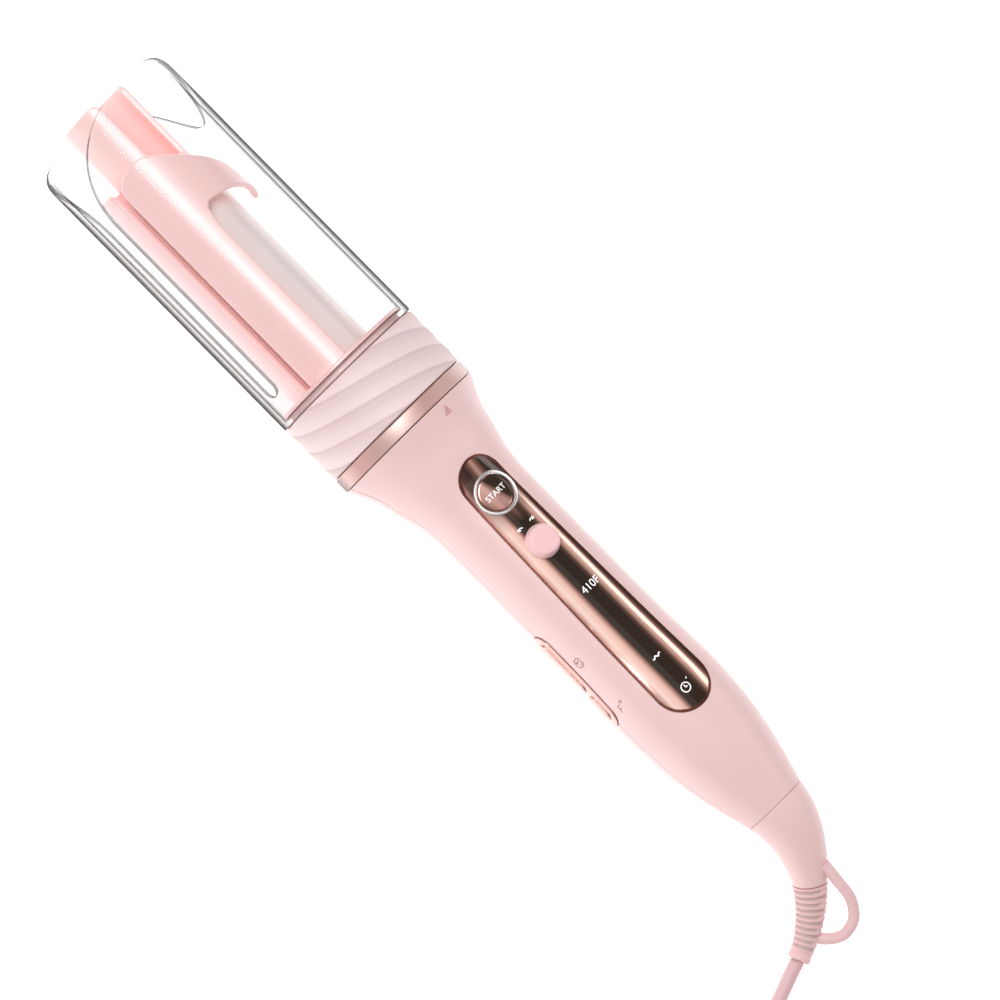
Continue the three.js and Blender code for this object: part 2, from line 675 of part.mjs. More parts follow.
add('motor_bracket', motorBracket(), FINISHES.steel);
BRACKET_POSTS.forEach(([x, , z], i) => {
  const shank = solid(rod(1.15, x, 137.0, BRACKET_END + 0.4, z, 12));
  const head = solid(rod(2.3, x, BRACKET_END + SNUG, BRACKET_END + 1.6, z, 12));
  const socket = solid(rod(0.9, x, BRACKET_END + 0.8, BRACKET_END + 2, z, 6));
  add(`bracket_screw_${i + 1}`, cut(join(shank, head), socket), FINISHES.steel);
});

const GEARBOX_Z = -3.5;
const MOTOR_Z = -5.5;
const gearbox = join(
  solid(rod(12.4, 0, BRACKET_END + SNUG, 158.2, GEARBOX_Z, 36)),
  solid(rod(3.6, 0, 144.6, BRACKET_END + 1, -PINION_OFFSET)),
);
add('gearbox', cut(gearbox, solid(rod(1.65, 0, 140, 151.5, -PINION_OFFSET))), FINISHES.steel);
const motor = join(
  solid(rod(9.5, 0, 158.4, 182.0, MOTOR_Z, 32)),
  solid(rod(3.0, 0, 181.5, 184.0, MOTOR_Z)),
);
add('motor', motor, FINISHES.steel);

// ---------------------------------------------------------------- handle shells

const HANDLE_SCREWS = [[-11.5, 200], [11.5, 200], [0, 283]];
const SCREW_HEAD_RADIUS = 2.6;
const SCREW_SEAT = 2.6; // depth of a screw head's seat under the shell

/** Height of the lower shell's outside beside a screw's head. */
const screwFloor = ([x, station]) => -panelHeight(Math.abs(x) + SCREW_HEAD_RADIUS + FIT, station);

/** The space inside the handle's skin, which the screw bosses are kept to. */
const handleCore = solid(
  turned([
    [0, HANDLE_START],
    ...HANDLE_PROFILE.map(([station, radius]) => [radius - 0.6, station]),
    [0, HANDLE_SEAM],
  ]),
);

/** Both shells of the handle as one tube, with its inner ribs. */
function handleTube() {
  const rows = [141.1, 146, 151, 157, 163, 170, 182, 210, 240, 257, 268, 279, 291, 305.2];
  const place = (angle, station, side) =>
    polar(angle, handleRadius(station, angle) - (side ? 0 : HANDLE_WALL), station);
  const shell = solid(slab(spread(0, 350, 35), rows, place, true));
  const mouthRib = solid(sleeve(23.3, 25.4, HANDLE_START, 142.9));
  const swivelRib = solid(sleeve(6.3, 12.6, 297.8, 300.0));
  return join(shell, mouthRib, swivelRib);
}

/** Cutters for the recesses of the panel and of the side keys. */
function controlCutters() {
  const openings = [
    panelPlate(FIT, -(PANEL_THICKNESS + FIT), 3),
    post(7.0, 0, START_STATION, 8, 22, 24),
    post(6.6, 0, KNOB_STATION, 8, 22, 24),
    block([-7.2, 207.5, 8], [7.2, 222.5, 22]),
    sidePlate(SIDE_START - FIT, SIDE_END + FIT, SIDE_HALF + FIT, -1.6, 3),
    sidePlate(SIDE_START + 1.2, SIDE_END - 1.2, KEY_HALF + 0.8, -5, 3),
  ];
  return openings.map(solid);
}

/** One shell: the half of the tube above or below the seam, with its screw bosses. */
function handleShell(tubeBody, up) {
  const seam = FIT / 2;
  const half = up ? block([-40, 130, seam], [40, 320, 40]) : block([-40, 130, -40], [40, 320, -seam]);
  const bosses = HANDLE_SCREWS.map((place) => {
    const [low, high] = up ? [seam, 18] : [-18, -seam];
    return solid(post(3.4, ...place, low, high)).intersect(handleCore);
  });
  const bores = HANDLE_SCREWS.flatMap((place) => {
    const floor = screwFloor(place);
    return [
      solid(post(1.5, ...place, floor, 7, 12)),
      solid(post(SCREW_HEAD_RADIUS + FIT, ...place, -20, floor + SCREW_SEAT)),
    ];
  });
  return cut(join(tubeBody.intersect(solid(half)), ...bosses), ...bores, ...controlCutters());
}

const PIVOT_HEIGHT = panelHeight(0, KNOB_STATION) - KNOB_PIVOT_DEPTH;
const PIVOT_EARS = [KNOB_STATION - 8.6, KNOB_STATION + 7.0];

/** The upper shell also has two ears that hold the direction knob's pin. */
function upperShell() {
  const ears = PIVOT_EARS.map((start) =>
    solid(block([-2, start, PIVOT_HEIGHT - 2.2], [2, start + 1.6, PIVOT_HEIGHT + 0.9])),
  );
  const pinBore = solid(rod(0.9, 0, PIVOT_EARS[0] - 1, PIVOT_EARS[1] + 3, PIVOT_HEIGHT, 12));
  return cut(join(handleShell(handleTube(), true), ...ears), pinBore);
}

add('handle_upper', upperShell(), FINISHES.pinkSatin);
add('handle_lower', handleShell(handleTube(), false), FINISHES.pinkSatin);
HANDLE_SCREWS.forEach((place, i) => {
  const seat = screwFloor(place) + SCREW_SEAT;
  const shank = solid(post(1.3, ...place, seat - 0.5, 5.5, 12));
  const head = solid(post(SCREW_HEAD_RADIUS, ...place, seat - 1.7, seat - SNUG));
  const socket = solid(post(1.1, ...place, seat - 3, seat - 0.9, 6));
  add(`handle_screw_${i + 1}`, cut(join(shank, head), socket), FINISHES.steel);
});

// ---------------------------------------------------------------- panel and its controls

/** The mirror panel, with a hole for the start button and one for the direction knob. */
function panelFascia() {
  const plate = solid(panelPlate(0, -PANEL_THICKNESS, 0));
  const startHole = solid(post(6.7, 0, START_STATION, 8, 22, 32));
  const knobHole = solid(post(6.15, 0, KNOB_STATION, 8, 22, 32));
  return cut(plate, startHole, knobHole);
}

/** A piece turned about Z on the panel; heights are measured from the panel's surface. */
function panelTurned(profile, station, sides = 32) {
  const points = profile.map(([radius, height]) => new THREE.Vector2(radius, height));
  return bendToPanel(new THREE.LatheGeometry(points, sides), station);
}

add('panel_fascia', panelFascia(), FINISHES.roseMirror);
const startRingProfile = [
  [6.1, -1.5], [6.45, -1.5], [6.45, 0.3], [7.25, 0.3], [7.25, 0.5], [6.95, 0.75], [6.4, 0.75],
  [6.1, 0.4], [6.1, -1.5],
];
add('start_ring', panelTurned(startRingProfile, START_STATION), FINISHES.silver);
const startButtonProfile = [
  [0, -4.4], [1.5, -4.4], [1.5, -1.7], [5.8, -1.7], [5.8, 0.25], [5.5, 0.4], [0, 0.4],
];
add('start_button', panelTurned(startButtonProfile, START_STATION), FINISHES.roseMirror);

/** The direction knob: a round cap that rocks left and right on a pin, with an arm to each side. */
function directionKnob() {
  const crown = panelHeight(0, KNOB_STATION);
  const profile = [
    [0, -1.9], [4.8, -1.9], [5.45, -1.2], [5.65, 0.4], [4.75, 3.0], [4.3, 3.45], [0, 3.45],
  ];
  const points = profile.map(([radius, height]) => new THREE.Vector2(radius, height));
  const cap = new THREE.LatheGeometry(points, 32).rotateX(Math.PI / 2).translate(0, KNOB_STATION, crown);
  const boss = block([-2, KNOB_STATION - 4, PIVOT_HEIGHT - 1.8], [2, KNOB_STATION + 4, PIVOT_HEIGHT + 1.2]);
  const arms = block([-6, KNOB_STATION - 2, PIVOT_HEIGHT - 2.4], [6, KNOB_STATION + 2, PIVOT_HEIGHT - 1.4]);
  const bore = solid(rod(0.85, 0, KNOB_STATION - 9, KNOB_STATION + 9, PIVOT_HEIGHT, 16));
  return cut(join(solid(cap), solid(boss), solid(arms)), bore);
}

add('direction_knob', directionKnob(), FINISHES.pinkSatin);
add('knob_pivot', rod(0.78, 0, PIVOT_EARS[0] + 0.1, PIVOT_EARS[1] + 1.5, PIVOT_HEIGHT, 16), FINISHES.steel);

/** The control board, notched round the front pair of screw bosses. */
function mainBoard() {
  const plate = solid(block([-11.6, 161, BOARD_TOP - BOARD_THICKNESS], [11.6, 262, BOARD_TOP]));
  const notches = HANDLE_SCREWS.map(([x, station]) => solid(post(3.8, x, station, 5, 12)));
  return cut(plate, ...notches);
}

add('main_board', mainBoard(), FINISHES.board);

/** A push switch on the control board: a square body with a round plunger. */
function boardSwitch(x, station, half, bodyTop, top) {
  const body = block([x - half, station - half, BOARD_TOP + SNUG], [x + half, station + half, bodyTop]);
  return join(solid(body), solid(post(half * 0.55, x, station, bodyTop - 0.2, top, 12)));
}

add('start_switch', boardSwitch(0, START_STATION, 3, 11.6, 12.2), FINISHES.insulator);
add('left_switch', boardSwitch(4.7, KNOB_STATION, 1.6, 10.9, 11.4), FINISHES.insulator);
add('right_switch', boardSwitch(-4.7, KNOB_STATION, 1.6, 10.9, 11.4), FINISHES.insulator);
add('display_module', block([-6.4, 208.5, BOARD_TOP + SNUG], [6.4, 221.5, 14.9]), FINISHES.insulator);

// ---------------------------------------------------------------- side keys

const KEY_NAMES = Object.keys(SIDE_KEYS);
const keyHoles = KEY_NAMES.map((name) => {
  const [start, end] = SIDE_KEYS[name];
  return solid(sidePlate(start - 0.35, end + 0.35, KEY_HALF + 0.35, -4, 3));
});
const bezel = cut(solid(sidePlate(SIDE_START, SIDE_END, SIDE_HALF, -1.3, 0.45)), ...keyHoles);
add('side_bezel', bezel, FINISHES.roseChrome);
add('side_board', block([10.4, 219, SIDE_HEIGHT - 4], [11.6, 250, SIDE_HEIGHT + 4]), FINISHES.board);

for (const name of KEY_NAMES) {
  const [start, end] = SIDE_KEYS[name];
  const middle = (start + end) / 2;
  const across = (radius, low, high) =>
    solid(post(radius, 0, 0, low, high, 12).rotateY(Math.PI / 2).translate(0, middle, SIDE_HEIGHT));
  const cap = solid(sidePlate(start, end, KEY_HALF, -1.9, 0.95));
  add(`${name}_button`, join(cap, across(1.3, 14.6, 16.5)), FINISHES.roseChrome);
  const body = solid(block([11.7, middle - 3, SIDE_HEIGHT - 3], [13.0, middle + 3, SIDE_HEIGHT + 3]));
  add(`${name}_switch`, join(body, across(1.4, 12.8, 13.6)), FINISHES.insulator);
}

// ---------------------------------------------------------------- swivel and tail

const swivelProfile = [
  [3.4, 294.6], [8.2, 294.6], [8.2, 296.8], [5.9, 296.8], [5.9, 301.0], [5.3, 301.0], [5.3, 302.0],
  [5.9, 302.0], [5.9, 312.0], [3.4, 312.0], [3.4, 294.6],
];
add('swivel_core', turned(swivelProfile, 24), FINISHES.acetal);
add('swivel_clip', wall(spread(20, 340, 16), () => 301.1, () => 301.9, 5.45, 8.0), FINISHES.steel);

/** The carrier of the sliding contacts that feed the handle through the swivel. */
function contactCarrier() {
  const disc = solid(sleeve(2.4, 9.6, 287.6, 290.4, 32));
  const fingers = [90, 210, 330].map((angle) => {
    const [x, , z] = polar(angle, 6, 0);
    return solid(rod(1.0, x, 290.0, 294.2, z, 10));
  });
  return join(disc, ...fingers);
}

add('contact_carrier', contactCarrier(), FINISHES.brass);

/** Radius of the tail at a part of its curve's length. */
function tailRadius(t) {
  if (t <= TAIL_SPLIT) {
    const u = t / TAIL_SPLIT;
    const fall = 0.78 * u + 0.22 * u * u * (3 - 2 * u);
    return TAIL_START_RADIUS + (TAIL_SPLIT_RADIUS - TAIL_START_RADIUS) * fall;
  }
  return THREE.MathUtils.mapLinear(t, TAIL_SPLIT, 1, TAIL_SPLIT_RADIUS, RELIEF_END_RADIUS);
}

/** A solid through closed loops of points, with flat ends. */
function loft(loops) {
  const sides = loops[0].length;
  const lastLoop = (loops.length - 1) * sides;
  const index = [];
  for (let loop = 0; loop < lastLoop; loop += sides) {
    for (let i = 0; i < sides; i++) {
      const a = loop + i;
      const b = loop + ((i + 1) % sides);
      index.push(a, b, b + sides, a, b + sides, a + sides);
    }
  }
  for (let i = 1; i < sides - 1; i++) {
    index.push(0, i + 1, i, lastLoop, lastLoop + i, lastLoop + i + 1);
  }
  const geometry = new THREE.BufferGeometry();
  geometry.setAttribute('position', new THREE.Float32BufferAttribute(loops.flat(2), 3));
  geometry.setIndex(index);
  return geometry;
}

/** A solid of round sections along the tail's curve; rings are [part of length, radius]. */
function tailSolid(rings, sides) {
  const left = new THREE.Vector3(1, 0, 0);
  const loops = rings.map(([t, radius]) => {
    const centre = TAIL_CURVE.getPointAt(t);
    const along = TAIL_CURVE.getTangentAt(t);
    const up = new THREE.Vector3().crossVectors(left, along).normalize();
    const across = new THREE.Vector3().crossVectors(along, up).normalize();
    return circlePoints(radius, sides).map(({ x, y }) =>
      centre.clone().addScaledVector(up, x).addScaledVector(across, y).toArray(),
    );
  });
  return loft(loops);
}

/** The hanging loop's centreline: out of the cap's end, round, and back into the strain relief. */
const LOOP_CURVE = curveThrough([
  [1.6, 329.5, -1.7], [1.5, 336.4, -3.8], [1.6, 343.5, -6.4], [4.3, 349.0, -10.1], [9.1, 350.6, -14.0],
  [13.0, 348.0, -17.0], [15.6, 344.2, -18.2],
]);

const TAIL_LENGTH = TAIL_CURVE.getLength();

function tailCap() {
  const rings = spread(0, TAIL_SPLIT, 6).map((t) => [t, tailRadius(t)]);
  const bore = sleeveBore(5.95 + SNUG, TAIL_START - 1, 312.2);
  const loopSeat = tube(LOOP_CURVE, LOOP_RADIUS + 0.4, 18);
  return cut(solid(tailSolid(rings, 20)), solid(bore), solid(loopSeat));
}

/** A round cutter along the device's axis. */
const sleeveBore = (radius, start, end) => rod(radius, 0, start, end, 0, 32);

/** The ribbed strain relief, moulded in one piece with the hanging loop. */
function strainRelief() {
  const start = TAIL_SPLIT + FIT / TAIL_LENGTH;
  const flange = 0.965;
  const pitch = (flange - start) / RELIEF_RIBS;
  const rings = [];
  for (let rib = 0; rib < RELIEF_RIBS; rib++) {
    const t = start + rib * pitch;
    rings.push([t, tailRadius(t)], [t + 0.5 * pitch, tailRadius(t)]);
    rings.push([t + 0.75 * pitch, tailRadius(t) - 0.9]);
  }
  rings.push([flange, RELIEF_END_RADIUS + 0.25], [1, RELIEF_END_RADIUS + 0.25]);
  return join(solid(tailSolid(rings, 12)), solid(tube(LOOP_CURVE, LOOP_RADIUS, 18)));
}

add('tail_cap', tailCap(), FINISHES.pinkSatin);
add('strain_relief', strainRelief(), FINISHES.pinkRubber);

// ---------------------------------------------------------------- leads inside the curler

const LEAD_RADIUS = 0.85;
for (const [name, side] of [['left', 1], ['right', -1]]) {
  const heaterRoute = [
    [1.6, 112, 0], [1.6, 130, 0], [1.8, 137.6, 0.6], [2.4, 140.2, 5], [3.0, 141.6, 10], [3.2, 145, 12.8],
    [3.3, 154, 12.7], [3.5, 163.5, 11.0],
  ];
  const supplyRoute = [
    [5.0, 287.2, 1.5], [5.2, 279, 4.5], [5.4, 270, 9.6], [5.4, 263.5, 11.5], [5.4, 256, 11.0],
  ];
  const toSide = (route) => curveThrough(route.map(([x, station, z]) => [side * x, station, z]));
  add(`heater_lead_${name}`, tube(toSide(heaterRoute), LEAD_RADIUS, 18, 6), FINISHES.wire);
  add(`supply_lead_${name}`, tube(toSide(supplyRoute), LEAD_RADIUS, 9, 6), FINISHES.wire);
}

// ---------------------------------------------------------------- mains cord, in the part's own frame

/** The cord from the strain relief down to the table and round into the hank's first run. */
const LEAD_ROUTE = [
  [-179.78, 24.06, 6.37], [-181.4, 28.6, 5.2], [-183.2, 33.4, 4.2], [-185.4, 39.5, 3.5],
  [-187.8, 44.6, 3.4], [-191.7, 49.8, 3.4], [-197.5, 54.6, 3.4], [-204.9, 58.1, 3.4],
  [-213.6, 59.3, 3.4], [-221.3, 59.3, 3.4],
];
const CORD_SIDES = 10;
add('cord_lead', tube(curveThrough(LEAD_ROUTE), CORD_RADIUS, 12, CORD_SIDES), FINISHES.cordRubber, part);

const HANK_HEIGHT = 2 * CORD_RADIUS + (HANK_LAYERS - 1) * CORD_PITCH;

/** A stadium outline, long in X, about the hank's centre. */
function stadium(target, radius) {
  const quarter = Math.PI / 2;
  target.moveTo(-HANK_HALF_RUN, -radius);
  target.lineTo(HANK_HALF_RUN, -radius);
  target.absarc(HANK_HALF_RUN, 0, radius, -quarter, quarter, false);
  target.lineTo(-HANK_HALF_RUN, radius);
  target.absarc(-HANK_HALF_RUN, 0, radius, quarter, 3 * quarter, false);
  return target;
}

function cordHank() {
  const outline = stadium(new THREE.Shape(), HANK_OUTER_BEND + CORD_RADIUS + 0.2);
  outline.holes.push(stadium(new THREE.Path(), HANK_INNER_BEND - CORD_RADIUS - 0.2));
  const settings = { depth: HANK_HEIGHT, bevelEnabled: false, curveSegments: 12 };
  return new THREE.ExtrudeGeometry(outline, settings).translate(...HANK_CENTRE, HANK_BASE);
}

add('cord_hank', cordHank(), FINISHES.cordRubber, part);

/** A rectangle with round corners. */
function roundedBox(target, [x0, y0], [x1, y1], radius) {
  const quarter = Math.PI / 2;
  target.moveTo(x0 + radius, y0);
  target.absarc(x1 - radius, y0 + radius, radius, -quarter, 0, false);
  target.absarc(x1 - radius, y1 - radius, radius, 0, quarter, false);
  target.absarc(x0 + radius, y1 - radius, radius, quarter, 2 * quarter, false);
  target.absarc(x0 + radius, y0 + radius, radius, 2 * quarter, 3 * quarter, false);
  return target;
}

/** The strap round the middle of the hank. */
function cordTie() {
  const reach = HANK_OUTER_BEND + CORD_RADIUS + 0.2 + FIT;
  const top = HANK_BASE + HANK_HEIGHT + FIT;
  const outer = TIE_THICKNESS;
  const band = roundedBox(new THREE.Shape(), [-reach - outer, 0], [reach + outer, top + outer], 1.6);
  band.holes.push(roundedBox(new THREE.Path(), [-reach, outer], [reach, top], 0.8));
  const settings = { depth: TIE_WIDTH, bevelEnabled: false, curveSegments: 3 };
  const geometry = new THREE.ExtrudeGeometry(band, settings);
  geometry.rotateX(Math.PI / 2).rotateZ(Math.PI / 2);
  return geometry.translate(HANK_CENTRE[0] - TIE_WIDTH / 2, HANK_CENTRE[1], 0);
}

add('cord_tie', cordTie(), FINISHES.insulator, part);

/** The cord's last stretch: off the top of the hank, round its far end and down to the plug. */
function endRoute() {
  const topRun = HANK_CENTRE[1] + HANK_OUTER_BEND;
  const bend = (topRun - PLUG_Y) / 2;
  const start = HANK_CENTRE[0] - HANK_HALF_RUN - LAST_RUN;
  const topHeight = HANK_BASE + CORD_RADIUS + (HANK_LAYERS - 1) * CORD_PITCH;
  const plugHeight = PLUG_THICKNESS / 2;
  return spread(28, 180, 10).map((turn) => {
    const a = radians(turn);
    const height = topHeight + (plugHeight - topHeight) * smoothstep(turn, 35, 180);
    return [start - bend * Math.sin(a), PLUG_Y + bend * (1 + Math.cos(a)), height];
  });
}

const PLUG_BACK = PLUG_FACE - PLUG_LENGTH;
const PLUG_RELIEF_END = PLUG_BACK - 15.2;
add('cord_end', tube(curveThrough(endRoute()), CORD_RADIUS, 14, CORD_SIDES), FINISHES.cordRubber, part);

/** Places of the plug's two blades across the plug. */
const BLADES = { left: PLUG_Y + BLADE_SPACING / 2, right: PLUG_Y - BLADE_SPACING / 2 };

/** A blade's block, or the pocket that holds it when grown. */
function bladeBlock(y, grow) {
  const { length, root, width, thickness } = BLADE;
  const z = PLUG_THICKNESS / 2;
  const low = [PLUG_FACE - root - grow, y - thickness / 2 - grow, z - width / 2 - grow];
  const high = [PLUG_FACE + length, y + thickness / 2 + grow, z + width / 2 + grow];
  return block(low, high);
}

/** The plug's body: a flat block that narrows to a round relief for the cord. */
function plugBody() {
  const points = [[0, 10.8], [-1.2, 12], [-18, 11.4], [-24, 9.0], [-28, 5.6]];
  const mirrored = points.toReversed().map(([x, y]) => [x, -y]);
  const shape = new THREE.Shape([...points, ...mirrored].map(([x, y]) => new THREE.Vector2(x, y)));
  const settings = { depth: PLUG_THICKNESS, bevelEnabled: false };
  const body = new THREE.ExtrudeGeometry(shape, settings).translate(PLUG_FACE, PLUG_Y, 0);
  const relief = new THREE.CylinderGeometry(4.4, 3.1, PLUG_BACK - PLUG_RELIEF_END + 0.5, 20);
  relief.rotateZ(-Math.PI / 2).translate((PLUG_BACK + 0.5 + PLUG_RELIEF_END) / 2, PLUG_Y, PLUG_THICKNESS / 2);
  const pockets = Object.values(BLADES).map((y) => solid(bladeBlock(y, SNUG)));
  return cut(join(solid(body), solid(relief)), ...pockets);
}

add('plug_body', plugBody(), FINISHES.cordRubber, part);
for (const [name, y] of Object.entries(BLADES)) {
  add(`plug_blade_${name}`, bladeBlock(y, 0), FINISHES.brass, part);
}

export default part;
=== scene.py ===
import json
import math

import bmesh
import bpy
import numpy as np
from mathutils import Matrix, Vector
from mathutils.geometry import delaunay_2d_cdt


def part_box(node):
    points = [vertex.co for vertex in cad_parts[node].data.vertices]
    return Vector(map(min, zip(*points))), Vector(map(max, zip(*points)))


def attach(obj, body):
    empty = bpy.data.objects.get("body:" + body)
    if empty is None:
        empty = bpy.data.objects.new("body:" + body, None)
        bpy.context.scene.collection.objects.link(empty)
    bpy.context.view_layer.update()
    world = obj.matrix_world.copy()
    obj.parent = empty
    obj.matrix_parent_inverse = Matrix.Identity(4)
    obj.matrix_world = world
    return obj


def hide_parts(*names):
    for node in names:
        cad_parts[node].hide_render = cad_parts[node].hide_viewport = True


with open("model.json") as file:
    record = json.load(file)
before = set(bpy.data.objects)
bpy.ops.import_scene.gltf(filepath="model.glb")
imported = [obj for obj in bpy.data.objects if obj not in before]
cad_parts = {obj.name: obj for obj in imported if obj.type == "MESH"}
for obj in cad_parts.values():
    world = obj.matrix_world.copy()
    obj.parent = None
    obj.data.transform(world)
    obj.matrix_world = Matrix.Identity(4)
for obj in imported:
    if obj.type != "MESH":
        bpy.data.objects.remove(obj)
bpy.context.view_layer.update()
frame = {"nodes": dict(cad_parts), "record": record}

MM = 0.001
BARREL_START = 30.0
BARREL_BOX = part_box("barrel")
ORIGIN_STATION = BARREL_BOX[1][0] / MM + BARREL_START
AXIS_HEIGHT = (BARREL_BOX[0][2] + BARREL_BOX[1][2]) / 2 / MM


# ---------------------------------------------------------------- points and numbers


def row_point(x, station, z):
    """The row-frame point, in metres, of a place in the device frame."""
    return Vector((ORIGIN_STATION - station, x, AXIS_HEIGHT + z)) * MM


def polar(angle, radius, station):
    a = math.radians(angle)
    return row_point(-radius * math.sin(a), station, radius * math.cos(a))


def spread(a, b, steps):
    return [a + (b - a) * i / steps for i in range(steps + 1)]


def clamp(x, low=0.0, high=1.0):
    return min(max(x, low), high)


def smoothstep(x, low, high):
    t = clamp((x - low) / (high - low))
    return t * t * (3 - 2 * t)


def smooth_through(points, x):
    """Smooth value at x through (x, value) points."""
    last = len(points) - 1
    k = 0
    while k < last - 1 and x > points[k + 1][0]:
        k += 1

    def tangent(i):
        (xa, va), (xb, vb) = points[max(i - 1, 0)], points[min(i + 1, last)]
        return (vb - va) / (xb - xa)

    (x0, v0), (x1, v1) = points[k], points[k + 1]
    span = x1 - x0
    t = clamp((x - x0) / span)
    rise = tangent(k) * span * t * (1 - t) ** 2
    fall = tangent(k + 1) * span * t * t * (t - 1)
    return v0 + (v1 - v0) * t * t * (3 - 2 * t) + rise + fall


def fillet(points, radius, steps=5, closed=True):
    """A polygon with its corners rounded; radius is one number or one for each corner."""
    count = len(points)
    out = []
    for i, point in enumerate(points):
        r = radius[i] if isinstance(radius, (list, tuple)) else radius
        if r <= 0 or (not closed and i in (0, count - 1)):
            out.append(tuple(point))
            continue
        corner = Vector(point)
        before = Vector(points[i - 1]) - corner
        after = Vector(points[(i + 1) % count]) - corner
        angle = before.angle(after)
        if angle > math.radians(176):
            out.append(tuple(point))
            continue
        reach = min(r / math.tan(angle / 2), 0.48 * before.length, 0.48 * after.length)
        start = corner + before.normalized() * reach
        end = corner + after.normalized() * reach
        r = reach * math.tan(angle / 2)
        centre = corner + (before.normalized() + after.normalized()).normalized() * (r / math.sin(angle / 2))
        a0 = math.atan2(start.y - centre.y, start.x - centre.x)
        a1 = math.atan2(end.y - centre.y, end.x - centre.x)
        turn = (a1 - a0 + math.pi) % (2 * math.pi) - math.pi
        for k in range(steps + 1):
            a = a0 + turn * k / steps
            out.append((centre.x + r * math.cos(a), centre.y + r * math.sin(a)))
    return out


def resample(points, pitch, closed=True):
    """Adds points so that no step along a line is longer than pitch."""
    out = []
    count = len(points)
    for i in range(count if closed else count - 1):
        a, b = Vector(points[i]), Vector(points[(i + 1) % count])
        steps = max(1, math.ceil((b - a).length / pitch))
        out.extend(tuple(a.lerp(b, k / steps)) for k in range(steps))
    if not closed:
        out.append(tuple(points[-1]))
    return out


def circle(x, y, radius, steps=40):
    turns = [2 * math.pi * i / steps for i in range(steps)]
    return [(x + radius * math.cos(a), y + radius * math.sin(a)) for a in turns]


def placed(name, data):
    """A new object in the scene."""
    made = bpy.data.objects.new(name, data)
    bpy.context.scene.collection.objects.link(made)
    return made


# ---------------------------------------------------------------- mesh helpers


def piece_from(name, body, points, faces, material, replaces=(), normals=None, sharp=38):
    """A closed mesh piece that rides on a body and stands for CAD nodes."""
    mesh = bpy.data.meshes.new(name)
    mesh.from_pydata([tuple(p) for p in points], [], faces)
    work = bmesh.new()
    work.from_mesh(mesh)
    if normals is None:
        bmesh.ops.remove_doubles(work, verts=work.verts, dist=1e-7)
        bmesh.ops.dissolve_degenerate(work, edges=work.edges, dist=1e-8)
    bmesh.ops.recalc_face_normals(work, faces=work.faces)
    for face in work.faces:
        face.smooth = True
    if normals is None:
        for edge in work.edges:
            if len(edge.link_faces) == 2 and edge.calc_face_angle(0) > math.radians(sharp):
                edge.smooth = False
    work.to_mesh(mesh)
    work.free()
    mesh.update()
    if normals is not None:
        mesh.normals_split_custom_set_from_vertices([tuple(n) for n in normals])
    piece = placed(name, mesh)
    piece.data.materials.append(material)
    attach(piece, body)
    if replaces:
        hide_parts(*replaces)
    return piece


def loft(loops, closed_ends=True, ring=False):
    """Points and faces of a skin through closed loops of points."""
    sides = len(loops[0])
    points = [p for loop in loops for p in loop]
    faces = []
    spans = len(loops) if ring else len(loops) - 1
    for k in range(spans):
        a, b = k * sides, ((k + 1) % len(loops)) * sides
        for i in range(sides):
            j = (i + 1) % sides
            faces.append((a + i, a + j, b + j, b + i))
    if closed_ends and not ring:
        faces.append(tuple(range(sides))[::-1])
        faces.append(tuple(range(len(points) - sides, len(points))))
    return points, faces


def merged(*parts):
    """Several (points, faces) in one."""
    points, faces = [], []
    for some_points, some_faces in parts:
        shift = len(points)
        points.extend(some_points)
        faces.extend(tuple(i + shift for i in face) for face in some_faces)
    return points, faces


def turned(profile, sides=144, place=polar):
    """Points and faces of a profile of (radius, station), closed on itself, turned about the axis."""
    loops = [[place(360 * i / sides, r, s) for r, s in profile] for i in range(sides)]
    return loft(loops, ring=True)


def turned_disc(profile, sides=96, place=polar):
    """The same for an open profile whose two ends are on the axis."""
    loops = [[place(360 * i / sides, r, s) for i in range(sides)] for r, s in profile]
    return loft(loops)


def inset(loop, distance, is_open):
    """The loop moved into the material, which is on its left; open edges don't move."""
    count = len(loop)
    out = []
    for i, point in enumerate(loop):
        before, after = (i - 1, i), (i, (i + 1) % count)
        normals = []
        for a, b in (before, after):
            if is_open and is_open(loop[a], loop[b]):
                continue
            along = Vector(loop[b]) - Vector(loop[a])
            if along.length > 1e-9:
                normals.append(Vector((-along.y, along.x)).normalized())
        if not normals:
            out.append((Vector(point), Vector((0, 0))))
            continue
        middle = sum(normals, Vector((0, 0))).normalized()
        scale = 1 / max(middle.dot(normals[0]), 0.5)
        out.append((Vector(point) + middle * distance * scale, -middle))
    return out


def inside(points, loops):
    """Which points lie inside the first loop and outside the others, by the even-odd rule."""
    hit = np.zeros(len(points), bool)
    px, py = points[:, 0], points[:, 1]
    for loop in loops:
        a = np.array(loop)
        b = np.roll(a, -1, axis=0)
        for (ax, ay), (bx, by) in zip(a, b):
            if ay == by:
                continue
            crosses = ((ay > py) != (by > py)) & (px < (bx - ax) * (py - ay) / (by - ay) + ax)
            hit ^= crosses
    return hit


def grid_inside(loops, pitch_u, pitch_v):
    """Grid points inside the loops and not close to them."""
    rim = np.array([p for loop in loops for p in loop])
    (u0, v0), (u1, v1) = rim.min(0), rim.max(0)
    steps_u = max(1, round((u1 - u0) / pitch_u))
    steps_v = max(1, round((v1 - v0) / pitch_v))
    grid = np.array([(u, v) for u in spread(u0, u1, steps_u) for v in spread(v0, v1, steps_v)])
    grid = grid[inside(grid, loops)]
    scale = np.array([pitch_u, pitch_v])
    keep = []
    for point in grid:
        nearest = np.min(np.sum(((rim - point) / scale) ** 2, axis=1))
        keep.append(nearest > 0.16)
    return grid[np.array(keep, bool)] if len(grid) else grid


